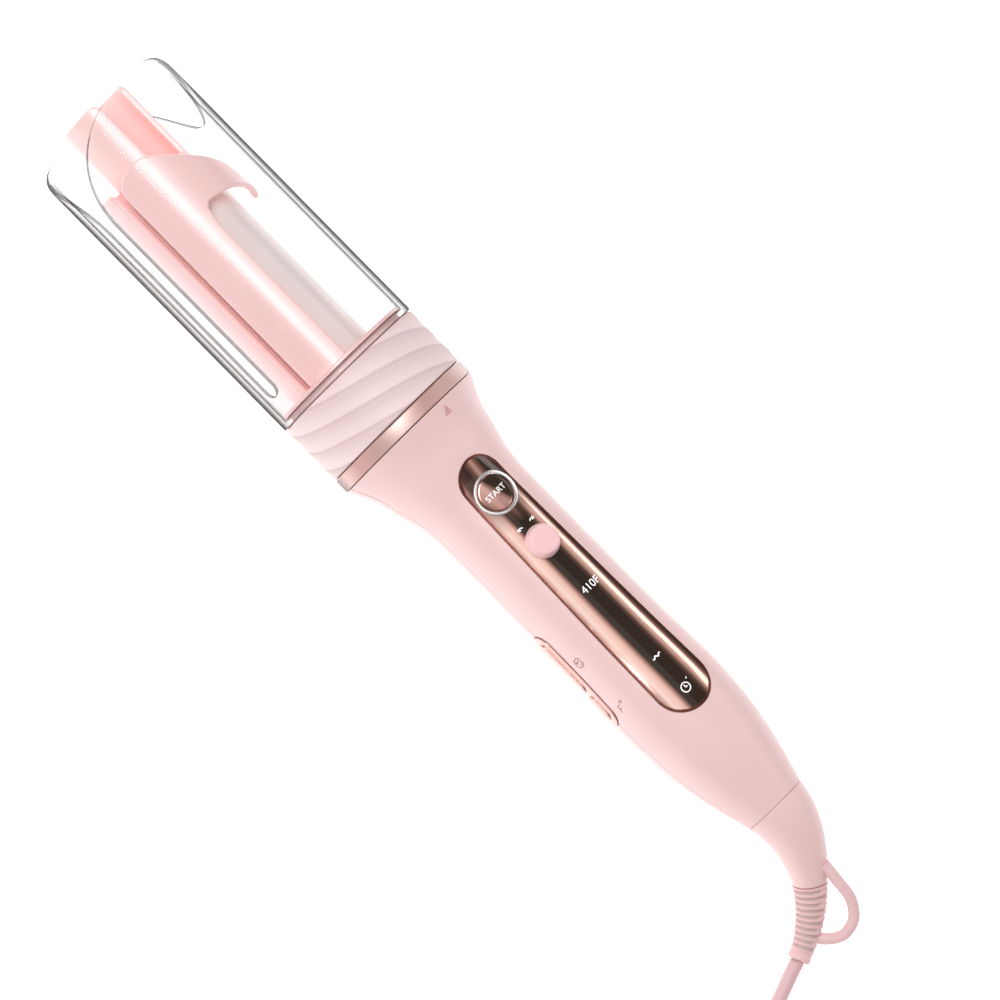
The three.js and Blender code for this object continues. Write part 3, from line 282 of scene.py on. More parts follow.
def plate(name, body, loops, place, low, high, material, edge=0.3, pitch=(1.2, 2.5), replaces=(),
          is_open=None, steps=3, extra=None):
    """A plate on a curved surface, with rounded edges. The first loop runs round the material with
    it on the left, and the others run round holes the same way. place(u, v, height) gives a point."""
    turns = [math.pi / 2 * k / steps for k in range(steps + 1)]
    rings = [(edge * (1 - math.cos(a)), low + edge * (1 - math.sin(a)), math.cos(a), -math.sin(a))
             for a in reversed(turns)]
    rings += [(edge * (1 - math.cos(a)), high - edge * (1 - math.sin(a)), math.cos(a), math.sin(a))
              for a in turns]
    points, normals, faces = [], [], []
    nudge = 0.02

    def add(u, v, height, side, up):
        at = place(u, v, height)
        along_u = (place(u + nudge, v, height) - place(u - nudge, v, height)).normalized()
        along_v = (place(u, v + nudge, height) - place(u, v - nudge, height)).normalized()
        out = (place(u, v, height + nudge) - at).normalized()
        face_out = along_u.cross(along_v).normalized()
        if face_out.dot(out) < 0:
            face_out.negate()
        normal = along_u * side.x + along_v * side.y + face_out * up
        points.append(at)
        normals.append(normal.normalized())
        return len(points) - 1

    caps = {0: [], len(rings) - 1: []}
    for loop in loops:
        indices = []
        for k, (shift, height, out, up) in enumerate(rings):
            placed = inset(loop, shift, is_open)
            indices.append([add(p.x, p.y, height, n * out, up) for p, n in placed])
            if k in caps:
                caps[k].append(([tuple(p) for p, _ in placed], indices[-1]))
        count = len(loop)
        for k in range(len(rings) - 1):
            for i in range(count):
                j = (i + 1) % count
                if is_open and is_open(loop[i], loop[j]):
                    continue
                faces.append((indices[k][i], indices[k][j], indices[k + 1][j], indices[k + 1][i]))
    edges_2d, rim, owners = [], [], {0: [], len(rings) - 1: []}
    for loop_2d, _ in caps[len(rings) - 1]:
        start = len(rim)
        rim.extend(loop_2d)
        edges_2d.extend((start + i, start + (i + 1) % len(loop_2d)) for i in range(len(loop_2d)))
    for k, loops_2d in caps.items():
        for _, indices in loops_2d:
            owners[k].extend(indices)
    grid = grid_inside([loop_2d for loop_2d, _ in caps[len(rings) - 1]], *pitch)
    flat = [Vector(p) for p in rim] + [Vector(p) for p in grid]
    made = delaunay_2d_cdt(flat, edges_2d, [], 4, 1e-6)
    coordinates, triangles, sources = made[0], made[2], made[3]
    for k, height, up in ((0, low, -1), (len(rings) - 1, high, 1)):
        index = []
        for co, source in zip(coordinates, sources):
            known = [s for s in source if s < len(rim)]
            index.append(owners[k][known[0]] if known else add(co.x, co.y, height, Vector((0, 0)), up))
        faces.extend(tuple(index[i] for i in (t if up > 0 else t[::-1])) for t in triangles)
    if extra:
        shift = len(points)
        points.extend(extra[0])
        faces.extend(tuple(i + shift for i in face) for face in extra[1])
        return piece_from(name, body, points, faces, material, replaces, None)
    return piece_from(name, body, points, faces, material, replaces, normals)


# ---------------------------------------------------------------- materials


def rgb(text):
    """A linear colour with alpha from an sRGB hex string."""
    values = [int(text[i:i + 2], 16) / 255 for i in (1, 3, 5)]
    return tuple(v / 12.92 if v <= 0.04045 else ((v + 0.055) / 1.055) ** 2.4 for v in values) + (1.0,)


class Shader:
    """A Principled material with helpers for its nodes. Patterns follow the piece's own coordinates."""

    def __init__(self, name, colour, roughness, metallic=0.0, **sockets):
        self.material = bpy.data.materials.new(name)
        self.material.use_nodes = True
        self.tree = self.material.node_tree
        self.main = self.tree.nodes["Principled BSDF"]
        self.main.inputs["Base Color"].default_value = rgb(colour)
        self.main.inputs["Roughness"].default_value = roughness
        self.main.inputs["Metallic"].default_value = metallic
        for socket, value in sockets.items():
            self.main.inputs[socket.replace("_", " ")].default_value = value
        self.place = self.node("ShaderNodeTexCoord").outputs["Object"]
        self.material.diffuse_color = rgb(colour)

    def node(self, kind, **settings):
        made = self.tree.nodes.new(kind)
        for key, value in settings.items():
            setattr(made, key, value)
        return made

    def link(self, source, target):
        self.tree.links.new(source, target)

    def axes(self):
        """The piece's own x, y and z."""
        split = self.node("ShaderNodeSeparateXYZ")
        self.link(self.place, split.inputs[0])
        return [split.outputs[name] for name in "XYZ"]

    def over_axis(self, z):
        return self.math("SUBTRACT", z, AXIS_HEIGHT * MM)

    def surface(self, source):
        """Uses another shader in place of the Principled one."""
        self.link(source, self.tree.nodes["Material Output"].inputs["Surface"])
        self.tree.nodes.remove(self.main)

    def noise(self, scale, detail=3.0, stretch=(1, 1, 1)):
        mapping = self.node("ShaderNodeMapping")
        mapping.inputs["Scale"].default_value = stretch
        self.link(self.place, mapping.inputs["Vector"])
        noise = self.node("ShaderNodeTexNoise")
        noise.inputs["Scale"].default_value = scale
        noise.inputs["Detail"].default_value = detail
        self.link(mapping.outputs[0], noise.inputs["Vector"])
        return noise.outputs["Fac"]

    def ranged(self, source, low, high, start=0.3, end=0.7):
        """A value from low to high as the source goes from start to end."""
        ramp = self.node("ShaderNodeMapRange")
        for socket, value in (("From Min", start), ("From Max", end), ("To Min", low), ("To Max", high)):
            ramp.inputs[socket].default_value = value
        self.link(source, ramp.inputs["Value"])
        return ramp.outputs[0]

    def mixed(self, factor, first, second):
        """A colour between two, each a colour or a socket."""
        mix = self.node("ShaderNodeMix", data_type="RGBA")
        self.link(factor, mix.inputs["Factor"])
        for name, value in (("A", first), ("B", second)):
            socket = next(s for s in mix.inputs if s.name == name and s.type == "RGBA")
            if isinstance(value, bpy.types.NodeSocket):
                self.link(value, socket)
            else:
                socket.default_value = rgb(value)
        return next(s for s in mix.outputs if s.type == "RGBA")

    def math(self, operation, first, second):
        made = self.node("ShaderNodeMath", operation=operation)
        for socket, value in zip(made.inputs, (first, second)):
            if isinstance(value, bpy.types.NodeSocket):
                self.link(value, socket)
            else:
                socket.default_value = value
        return made.outputs[0]

    def colour(self, source):
        self.link(source, self.main.inputs["Base Color"])

    def rough(self, source):
        self.link(source, self.main.inputs["Roughness"])

    def bump(self, source, strength, distance):
        bump = self.node("ShaderNodeBump")
        bump.inputs["Strength"].default_value = strength
        bump.inputs["Distance"].default_value = distance
        self.link(source, bump.inputs["Height"])
        self.link(bump.outputs[0], self.main.inputs["Normal"])

    def ramp(self, source, stops):
        """Colours along a value; stops are (position, hex colour)."""
        ramp = self.node("ShaderNodeValToRGB")
        elements = ramp.color_ramp.elements
        while len(elements) < len(stops):
            elements.new(1.0)
        for element, (position, colour) in zip(elements, stops):
            element.position = position
            element.color = rgb(colour)
        self.link(source, ramp.inputs["Fac"])
        return ramp.outputs["Color"]


def moulded(name, colour, shade, roughness, grain=2600.0, bump=0.05, **sockets):
    """Moulded plastic: a slow colour variation, a fine grain and a roughness that varies a little."""
    made = Shader(name, colour, roughness, **sockets)
    made.colour(made.mixed(made.ranged(made.noise(28.0, 2.0), 0.0, 0.55), colour, shade))
    fine = made.noise(grain, 4.0)
    made.rough(made.ranged(made.noise(140.0, 4.0), roughness * 0.9, roughness * 1.12))
    made.bump(fine, bump, 0.00004)
    return made


def metal(name, colour, roughness, stretch=(1, 1, 1), grain=900.0, bump=0.04):
    """Metal with fine marks along one direction."""
    made = Shader(name, colour, roughness, 1.0)
    marks = made.noise(grain, 3.0, stretch)
    made.rough(made.ranged(marks, roughness * 0.75, roughness * 1.3))
    made.bump(marks, bump, 0.00003)
    return made


COLLAR_WAVES = 6
WAVE_TWIST = 44.0  # length in which a wave would go once round the collar

handle_pink = moulded("handle_pink", "#ebc8c6", "#e8c3c2", 0.38, Coat_Weight=0.3, Coat_Roughness=0.35)
rotor_pink = moulded("rotor_pink", "#f0c8c6", "#eec4c3", 0.36, grain=1500.0, bump=0.02,
                     Coat_Weight=1.0, Coat_Roughness=0.3)
tip_pink = moulded("tip_pink", "#f1cdca", "#eec8c6", 0.34, grain=1500.0, bump=0.02, Coat_Weight=0.5,
                   Coat_Roughness=0.3)


def painted_glow_within(shader, start, end, strength):
    """Painted glow: salmon emission on the inner side of thin pink plastic, standing in for light that comes
    through it.
    """
    _, y, z = shader.axes()
    squares = [shader.math("MULTIPLY", value, value) for value in (y, shader.over_axis(z))]
    radius = shader.math("SQRT", shader.math("ADD", *squares), 0.0)
    painted_glow = shader.ranged(radius, strength, 0.0, start * MM, end * MM)
    shader.main.inputs["Emission Color"].default_value = rgb("#ffb3ac")
    shader.link(painted_glow, shader.main.inputs["Emission Strength"])


# painted glow on the inner sides of the rotor and the barrel tip
painted_glow_within(rotor_pink, 18.6, 19.3, 0.2)
painted_glow_within(tip_pink, 11.6, 12.3, 0.14)
knob_pink = moulded("knob_pink", "#f7cccd", "#f3c2c4", 0.4)
soft_pink = moulded("soft_pink", "#e6cccd", "#e2c5c8", 0.62, grain=3600.0, bump=0.1, Sheen_Weight=0.12)
collar_pink_wave_shade = Shader("collar_pink_wave_shade", "#e6cccd", 0.6, Sheen_Weight=0.12)
collar_x, collar_y, collar_z = collar_pink_wave_shade.axes()
collar_turn = collar_pink_wave_shade.math("ARCTAN2", collar_y, collar_pink_wave_shade.over_axis(collar_z))
wave_phase = collar_pink_wave_shade.math("FRACT", collar_pink_wave_shade.math(
    "ADD", collar_pink_wave_shade.math("MULTIPLY", collar_x, -COLLAR_WAVES / (WAVE_TWIST * MM)),
    collar_pink_wave_shade.math("MULTIPLY", collar_turn, COLLAR_WAVES / (2 * math.pi))), 0.0)
# painted shade and highlight: lighter and darker bands that follow the twisted waves stand in for the light
# and shade on their slopes
collar_pink_wave_shade.colour(collar_pink_wave_shade.ramp(wave_phase, [
    (0.0, "#dfc6c6"), (0.35, "#e6cdcd"), (0.72, "#ecd5d4"), (0.78, "#e9d0d0"), (0.86, "#d3b7b8"),
    (1.0, "#dfc6c6")]))
collar_pink_wave_shade.bump(collar_pink_wave_shade.noise(3600.0, 4.0), 0.08, 0.00004)
relief_pink = moulded("relief_pink", "#e9c3c4", "#e4bcbe", 0.5, bump=0.08)
cord_pink = moulded("cord_pink", "#dcb6b9", "#d6adb1", 0.5, grain=3000.0, bump=0.1)
plug_pink = moulded("plug_pink", "#dcb4b7", "#d5a9ad", 0.48, bump=0.08)
strap_pink = Shader("strap_pink", "#c99ca1", 0.85, Sheen_Weight=0.3)
weave = strap_pink.node("ShaderNodeTexWave", wave_type="BANDS", bands_direction="DIAGONAL")
weave.inputs["Scale"].default_value = 420.0
strap_pink.link(strap_pink.place, weave.inputs["Vector"])
strap_pink.colour(strap_pink.mixed(weave.outputs["Fac"], "#c2949a", "#d2a8ac"))
strap_pink.bump(weave.outputs["Fac"], 0.5, 0.0001)

barrel_coat = moulded("barrel_coat", "#e6d9d7", "#dfd0ce", 0.34, bump=0.01, metallic=0.2)
rose_chrome = metal("rose_chrome", "#dcb5af", 0.3, grain=60.0, bump=0.0)
ring_chrome_painted_reflections = Shader("ring_chrome_painted_reflections", "#dcb5af", 0.34, 0.45)
_, ring_y, ring_z = ring_chrome_painted_reflections.axes()
ring_turn = ring_chrome_painted_reflections.math("ARCTAN2", ring_y, ring_chrome_painted_reflections.over_axis(ring_z))
# painted reflections: light and dark bands by angle round the axis stand in for what the chrome reflects,
# darkest near the ring's sides and underside
ring_chrome_painted_reflections.colour(ring_chrome_painted_reflections.ramp(ring_chrome_painted_reflections.ranged(ring_turn, 0.0, 1.0, -math.pi, math.pi), [
    (0.0, "#8a7a76"), (0.20, "#cfa8a3"), (0.27, "#77716c"), (0.31, "#c9c2bd"), (0.36, "#d9c4bf"),
    (0.42, "#dcb4ae"), (0.50, "#c99d97"), (0.56, "#d6bab4"), (0.62, "#d2aba5"), (0.68, "#c49892"),
    (0.73, "#d9b9b4"), (0.78, "#6d6762"), (0.9, "#cfa8a3"), (1.0, "#8a7a76")]))
ring_chrome_painted_reflections.rough(ring_chrome_painted_reflections.ranged(ring_chrome_painted_reflections.noise(90.0), 0.42, 0.5))
silver = metal("silver_ring", "#efe9e8", 0.22, grain=1600.0, bump=0.03)
steel = metal("plain_steel", "#a9acb0", 0.35, (0.3, 1, 1))
brass = metal("plain_brass", "#b5935c", 0.32)
nickel = metal("blade_nickel", "#cfc7b4", 0.25, (0.2, 1, 1))
dark_plastic = moulded("dark_plastic", "#39383b", "#302f32", 0.5)
acetal = moulded("natural_acetal", "#ebe6da", "#e4dfd2", 0.4)
ceramic = moulded("heater_ceramic", "#d6cfbf", "#cbc3b1", 0.75, bump=0.2)
lead_sleeve = moulded("lead_sleeve", "#c9b9a8", "#bfae9c", 0.6)
board_green = moulded("solder_mask", "#2c6a47", "#265f3f", 0.35)
# white print given a faint emission: a painted glow
white_print_glow = Shader("white_print_glow", "#ffffff", 0.5, Emission_Color=(1, 1, 1, 1), Emission_Strength=0.25)
white_print_glow.rough(white_print_glow.ranged(white_print_glow.noise(900.0), 0.4, 0.6))
print_brown = moulded("print_brown", "#8d5a50", "#84524a", 0.5)
mark_pink = moulded("mark_pink", "#d79fa4", "#d1979c", 0.5)

clear = Shader("clear_guard_plastic", "#ffffff", 0.03, IOR=1.5)
edge_on = clear.node("ShaderNodeLayerWeight")
edge_on.inputs["Blend"].default_value = 0.5
glossy = clear.node("ShaderNodeBsdfGlossy")
clear.link(clear.ranged(clear.noise(60.0), 0.02, 0.05), glossy.inputs["Roughness"])
passed = clear.node("ShaderNodeBsdfTransparent")
clear.link(clear.ramp(edge_on.outputs["Facing"], [
    (0.0, "#ffffff"), (0.36, "#fefefe"), (0.54, "#f3f4f4"), (0.68, "#dfe0e0"), (0.77, "#9fa1a1"),
    (0.84, "#767878"), (1.0, "#808282")]), passed.inputs["Color"])
fresnel = clear.node("ShaderNodeFresnel")
fresnel.inputs["IOR"].default_value = 1.45
both = clear.node("ShaderNodeMixShader")
clear.link(clear.math("MULTIPLY", fresnel.outputs[0], 0.16), both.inputs["Fac"])
clear.link(passed.outputs[0], both.inputs[1])
clear.link(glossy.outputs[0], both.inputs[2])
clear.surface(both.outputs[0])


# ---------------------------------------------------------------- camera, floor and lights

VIEW_TILT = math.radians(20)  # how far the camera leans from straight above towards the left side
AIM_SIDE = 5.5  # how far beside the axis the camera aims
AIM_STATION = ORIGIN_STATION + 9.6
AIM_HEIGHT = 27.5
VIEW_TARGET = row_point(-AIM_SIDE * math.cos(VIEW_TILT), AIM_STATION, AIM_SIDE * math.sin(VIEW_TILT))
VIEW_TARGET.z += (AIM_HEIGHT - AXIS_HEIGHT) * MM
VIEW_DISTANCE = 2.1
VIEW_ROLL = math.radians(0.49)

camera_data = bpy.data.cameras.new("camera")
camera_data.sensor_width = 36
camera_data.lens = 240
camera_data.clip_end = 20
camera = placed("camera", camera_data)
towards = Vector((0, math.sin(VIEW_TILT), math.cos(VIEW_TILT)))
across = Vector((0, math.cos(VIEW_TILT), -math.sin(VIEW_TILT)))
right = (-Vector((1, 0, 0)) - across).normalized()
up = (Vector((1, 0, 0)) - across).normalized()
turned_right = right * math.cos(VIEW_ROLL) + up * math.sin(VIEW_ROLL)
turned_up = towards.cross(turned_right)
camera_axes = Matrix((turned_right, turned_up, towards)).transposed().to_4x4()
camera_axes.translation = VIEW_TARGET + towards * VIEW_DISTANCE
camera.matrix_world = camera_axes
bpy.context.scene.camera = camera
bpy.context.scene.view_settings.view_transform = "Standard"

floor_material = Shader("floor", "#ffffff", 0.9, Emission_Color=(1, 1, 1, 1), Emission_Strength=0.6)
floor_material.rough(floor_material.ranged(floor_material.noise(6.0), 0.85, 0.95))
floor_mesh = bpy.data.meshes.new("floor")
floor_mesh.from_pydata([(-4, -4, 0), (4, -4, 0), (4, 4, 0), (-4, 4, 0)], [], [(0, 1, 2, 3)])
floor = placed("floor", floor_mesh)
floor.location.z = -0.0004
floor_mesh.materials.append(floor_material.material)

world = bpy.data.worlds.new("studio")
bpy.context.scene.world = world
world.use_nodes = True
backdrop = world.node_tree.nodes["Background"]
backdrop.inputs["Color"].default_value = (1, 0.99, 0.985, 1)
backdrop.inputs["Strength"].default_value = 0.38


def soft_light(name, place, aim, size, power):
    data = bpy.data.lights.new(name, "AREA")
    data.shape = "RECTANGLE"
    data.size, data.size_y = size
    data.energy = power
    light = placed(name, data)
    light.location = place
    light.rotation_euler = (Vector(aim) - Vector(place)).to_track_quat("-Z", "Y").to_euler()


soft_light("key", (0.5, 0.5, 1.65), (0, 0, 0), (1.1, 0.4), 19)
soft_light("strip", (-0.4, -0.9, 0.9), (0, 0, 0.02), (1.2, 0.2), 2)
soft_light("top", (0.0, 0.1, 1.9), (0, 0, 0), (1.6, 1.2), 3)


# ---------------------------------------------------------------- mains cord, hank and plug

CORD_RADIUS = 2.3
CORD_PITCH = 4.8
HANK_X = -260.5
HANK_Y = 40.0
HANK_HALF_RUN = 24.0
LAST_RUN = 6.0
HANK_BENDS = (19.3, 14.5)
HANK_LEVEL = 3.4
PLUG_Y = 5.0
PLUG_HEIGHT = 7.0
PLUG_ENTRY = -286.0
TURN_COLUMNS = [(0, 1), (1, 1), (1, 0), (0, 0), (0, 1), (1, 1), (1, 0), (0, 0)]
TURN_CLIMBS = [0, 1, 0, 1, 0, 1, 0, 1]
LEAD_ROUTE = [
    (-178.66, 20.9, 7.26), (-179.6, 23.7, 6.47), (-179.78, 24.06, 6.37), (-181.4, 28.6, 5.2),
    (-183.2, 33.4, 4.2), (-185.4, 39.5, 3.5), (-187.8, 44.6, 3.4), (-191.7, 49.8, 3.4),
    (-197.5, 54.6, 3.4), (-204.9, 58.1, 3.4), (-213.6, 59.3, 3.4), (-221.3, 59.3, 3.4),
]


def catmull(points, steps):
    """Points on a smooth curve through points."""
    padded = [2 * Vector(points[0]) - Vector(points[1])] + [Vector(p) for p in points]
    padded.append(2 * Vector(points[-1]) - Vector(points[-2]))
    out = []
    for k in range(1, len(padded) - 2):
        p0, p1, p2, p3 = padded[k - 1:k + 3]
        for i in range(steps):
            t = i / steps
            out.append(0.5 * (2 * p1 + (p2 - p0) * t + (2 * p0 - 5 * p1 + 4 * p2 - p3) * t * t
                              + (3 * p1 - p0 - 3 * p2 + p3) * t ** 3))
    out.append(padded[-2])
    return out


def cord_route():
    """The whole cord: down from the strain relief, eight turns, a run on top, and the plug."""
    route = catmull(LEAD_ROUTE, 3)
    level = 0
    for turn, (start_column, end_column) in enumerate(TURN_COLUMNS):
        low = HANK_LEVEL + level * CORD_PITCH
        bend, last = HANK_BENDS[start_column], HANK_BENDS[end_column]
        run = spread(HANK_HALF_RUN, -HANK_HALF_RUN, 6)
        route += [Vector((HANK_X + x, HANK_Y + bend, low)) for x in run]
        for k in range(1, 13):
            a = math.pi * k / 12
            x = HANK_X - HANK_HALF_RUN - bend * math.sin(a)
            route.append(Vector((x, HANK_Y + bend * math.cos(a), low)))
        route += [Vector((HANK_X - x, HANK_Y - bend, low)) for x in run[1:]]
        for k in range(1, 12):
            a = math.pi * k / 12
            reach = bend + (last - bend) * smoothstep(k, 0, 12)
            rise = CORD_PITCH * TURN_CLIMBS[turn] * smoothstep(k, 1, 11)
            route.append(Vector((HANK_X + HANK_HALF_RUN + reach * math.sin(a),
                                 HANK_Y - reach * math.cos(a), low + rise)))
        level += TURN_CLIMBS[turn]
    top = HANK_LEVEL + level * CORD_PITCH
    side = HANK_Y + HANK_BENDS[0]
    run_end = -HANK_HALF_RUN - LAST_RUN
    route += [Vector((HANK_X + x, side, top)) for x in spread(HANK_HALF_RUN, run_end, 7)]
    bend = (side - PLUG_Y) / 2
    for k in range(1, 21):
        degrees = 9 * k
        a = math.radians(degrees)
        height = top + (PLUG_HEIGHT - top) * smoothstep(degrees, 35, 180)
        x = HANK_X + run_end - bend * math.sin(a)
        route.append(Vector((x, PLUG_Y + bend * (1 + math.cos(a)), height)))
    route.append(Vector((PLUG_ENTRY, PLUG_Y, PLUG_HEIGHT)))
    return [p * MM for p in route]


cord_points = cord_route()
cord_length = sum((b - a).length for a, b in zip(cord_points, cord_points[1:]))
cord_curve = bpy.data.curves.new("mains_cord", "CURVE")
cord_curve.dimensions = "3D"
cord_curve.bevel_depth = CORD_RADIUS * MM
cord_curve.bevel_resolution = 5
cord_curve.use_fill_caps = True
cord_line = cord_curve.splines.new("POLY")
cord_line.points.add(len(cord_points) - 1)
for target, point in zip(cord_line.points, cord_points):
    target.co = (*point, 1)
cord_line.use_smooth = True
mains_cord = placed("mains_cord", cord_curve)
cord_curve.materials.append(cord_pink.material)
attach(mains_cord, "root")
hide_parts("cord_lead", "cord_hank", "cord_end")


def rounded_section(half_width, half_height, power=4.0, sides=48):
    """A rounded rectangle as (y, z) points."""
    out = []
    for i in range(sides):
        a = 2 * math.pi * i / sides
        c, s = math.cos(a), math.sin(a)
        out.append((half_width * math.copysign(abs(c) ** (2 / power), c),
                    half_height * math.copysign(abs(s) ** (2 / power), s)))
    return out


PLUG_FACE = -246.9
PLUG_SECTIONS = [  # distance behind the face, half width, half height, squareness
    (0.0, 9.6, 5.2, 5), (0.25, 10.6, 6.2, 5), (1.0, 11.4, 6.8, 5), (2.4, 11.8, 7.0, 5), (8.0, 11.7, 7.0, 5),
    (11.0, 11.5, 7.0, 5), (14.0, 11.1, 6.5, 4.6), (18.0, 10.3, 6.3, 4.2), (21.0, 9.0, 6.0, 3.6),
    (24.0, 7.2, 5.4, 3), (26.5, 5.6, 4.8, 2.4), (28.0, 5.0, 4.5, 2),
]


def plug_loops():
    sections = list(PLUG_SECTIONS)
    for rib in range(5):
        start = 28.4 + rib * 2.9
        radius = 4.4 - rib * 0.24
        sections += [(start, radius - 0.55, radius - 0.55, 2), (start + 0.5, radius - 0.6, radius - 0.6, 2)]
        sections += [(start + 0.9, radius, radius, 2), (start + 2.2, radius - 0.1, radius - 0.1, 2)]
    sections += [(43.0, 3.0, 3.0, 2), (43.2, 2.5, 2.5, 2)]
    loops = []
    for back, half_width, half_height, power in sections:
        section = rounded_section(half_width, half_height, power)
        loops.append([Vector((PLUG_FACE - back, PLUG_Y + y, PLUG_HEIGHT + z)) * MM for y, z in section])
    return loops


plug = piece_from("plug_moulding", "root", *loft(plug_loops()), plug_pink.material, ("plug_body",))


BLADE_OFFSET = 6.35
BLADE_HALF_THICKNESS = 0.74


def blade_place(side):
    def place(u, v, height):
        return Vector((PLUG_FACE + u, PLUG_Y + side * BLADE_OFFSET + height, PLUG_HEIGHT + v)) * MM
    return place


blade_outline = resample(fillet([(-6, -3.17), (17, -3.17), (17, 3.17), (-6, 3.17)], [0, 1.6, 1.6, 0]), 0.8)
blade_hole = circle(13.4, 0, 1.5, 24)[::-1]
blades = [
    plate(f"blade_{name}", "root", [blade_outline, blade_hole], blade_place(side), -BLADE_HALF_THICKNESS,
          BLADE_HALF_THICKNESS, nickel.material, 0.2, (1.0, 1.0), (f"plug_blade_{name}",))
    for name, side in (("left", 1), ("right", -1))
]

STRAP_PATH = fillet([(18.2, 0.5), (61.8, 0.5), (62.0, 24.9), (56.6, 25.2), (25.0, 20.9), (18.0, 20.6)],
                    [0.8, 0.8, 2.0, 2.0, 2.0, 2.0], 6)
STRAP_HALF_WIDTH = 6.0
STRAP_THICKNESS = 0.7


def strap_loops():
    """A band with thin round edges along the strap's path."""
    wide, thick = STRAP_HALF_WIDTH, STRAP_THICKNESS
    section = fillet([(-wide, 0), (wide, 0), (wide, thick), (-wide, thick)], 0.25, 2)
    loops = []
    for point, outward in inset(resample(STRAP_PATH, 1.5), 0.0, None):
        loop = []
        for across_strap, rise in section:
            y, z = point + outward * rise
            loop.append(Vector((HANK_X + across_strap, y, max(z, 0.02))) * MM)
        loops.append(loop)
    return loops


strap = piece_from("hank_strap", "root", *loft(strap_loops(), ring=True), strap_pink.material, ("cord_tie",))
tuple(cord_points[3])


# ---------------------------------------------------------------- clear guard

GUARD_RADIUS = 27.5
GUARD_WALL = 2.0
GUARD_END = 113.4
SKIRT_RADII = (23.4, 25.0)
SKIRT_END = 124.0
LOBE = 15
SLOT_HALF = 6.5
SLOT_START = 31.6
SLOT_END = 104.0
NOTCH_DEPTH = 25.6
GUARD_STEP = GUARD_END - GUARD_WALL


def on_cylinder(radius):
    """A place function for an outline whose u is the arc's length at a radius."""
    return lambda u, v, height: polar(math.degrees(u / radius), height, v)


def guard_outline():
    """The guard's unrolled outline: the rim with its slot and its notch, and two open seam edges."""
    edge = 90 - SLOT_HALF
    arc = GUARD_RADIUS * math.radians(SLOT_HALF)
    half_slot = [(arc * math.sin(a), SLOT_END - arc + arc * math.cos(a)) for a in spread(0, math.pi / 2, 12)]
    side = spread(SLOT_END - arc, SLOT_START, 40)[1:]
    rim = [(math.radians(LOBE - 90) * GUARD_RADIUS + x, v) for x, v in half_slot]
    rim += [(math.radians(LOBE - edge) * GUARD_RADIUS, v) for v in side]
    for turn in spread(90, 0, 40)[1:]:
        a = math.radians(turn)
        rim.append((math.radians(LOBE - edge * math.sin(a)) * GUARD_RADIUS, SLOT_START * (1 - math.cos(a))))
    for off in spread(0, 180, 80)[1:]:
        from_lobe = min(off, 180 - off)
        depth = NOTCH_DEPTH * (1 - math.cos(math.pi * (from_lobe / 90) ** 2.1)) / 2
        rim.append((math.radians(LOBE + off) * GUARD_RADIUS, depth))
    middle = math.radians(LOBE + 90) * GUARD_RADIUS
    mirrored = [(2 * middle - u, v) for u, v in rim[:92]]
    return rim + mirrored[::-1]


guard_rim = guard_outline()
seam_left, seam_right = guard_rim[0][0], guard_rim[-1][0]
GUARD_COLUMNS = 120
foot_row = [(u, GUARD_STEP) for u in spread(seam_right, seam_left, GUARD_COLUMNS)]
guard_loop = guard_rim + [(seam_right, v) for v in spread(SLOT_END, GUARD_STEP, 4)[1:-1]]
guard_loop += foot_row + [(seam_left, v) for v in spread(GUARD_STEP, SLOT_END, 4)[1:-1]]


def guard_is_open(a, b):
    """Whether an edge of the outline is on the seam or on the foot's row."""
    lines = ((0, seam_left), (0, seam_right), (1, GUARD_STEP))
    return any(all(abs(p[axis] - value) < 1e-6 for p in (a, b)) for axis, value in lines)


inner_guard, outer_guard = GUARD_RADIUS - GUARD_WALL, GUARD_RADIUS
foot_profile = [(outer_guard, GUARD_STEP), (outer_guard, GUARD_END - 0.3), (outer_guard - 0.3, GUARD_END),
                (SKIRT_RADII[1], GUARD_END), (SKIRT_RADII[1], SKIRT_END), (SKIRT_RADII[0], SKIRT_END),
                (SKIRT_RADII[0], GUARD_STEP), (inner_guard, GUARD_STEP)]
foot_angles = [math.degrees(u / GUARD_RADIUS) for u, _ in foot_row[:-1]]
foot_loops = [[polar(a, r, s) for a in foot_angles] for r, s in foot_profile]
guard = plate("guard_shell", "guard", [guard_loop], on_cylinder(GUARD_RADIUS), inner_guard, outer_guard,
              clear.material, 0.85, (2.4, 4.0), ("clear_guard",), guard_is_open, 4,
              extra=loft(foot_loops, closed_ends=False))

guard_edge = Shader("guard_edge_plastic", "#ffffff", 0.1)
guard_inside = Shader("guard_inside_plastic", "#ffffff", 0.1)
for tinted, stops in (
    (guard_edge, [(0.0, "#b9bbbb"), (0.6, "#8f9292"), (1.0, "#3c3f40")]),
    (guard_inside, [(0.0, "#ffffff"), (0.72, "#fcfcfc"), (0.86, "#c9cccc"), (0.95, "#7c7f7f"),
                    (1.0, "#4a4c4c")]),
):
    through = tinted.node("ShaderNodeBsdfTransparent")
    seen_from = tinted.node("ShaderNodeLayerWeight")
    tinted.link(tinted.ramp(seen_from.outputs["Facing"], stops), through.inputs["Color"])
    tinted.surface(through.outputs[0])
    guard.data.materials.append(tinted.material)
guard_foot = moulded("guard_foot_plastic", "#eed3d2", "#ebcdcc", 0.5, bump=0.02)
guard.data.materials.append(guard_foot.material)
guard_axis = Vector((0, 0, AXIS_HEIGHT * MM))
for face in guard.data.polygons:
    outward = face.center - guard_axis
    outward.x = 0
    if ORIGIN_STATION - face.center.x / MM > GUARD_STEP - 0.05 and outward.length < (GUARD_RADIUS - 0.4) * MM:
        face.material_index = 3
    elif abs(face.normal.dot(outward.normalized())) < 0.55:
        face.material_index = 1
    elif outward.length < (GUARD_RADIUS - 1) * MM:
        face.material_index = 2

# ---------------------------------------------------------------- barrel and its tip

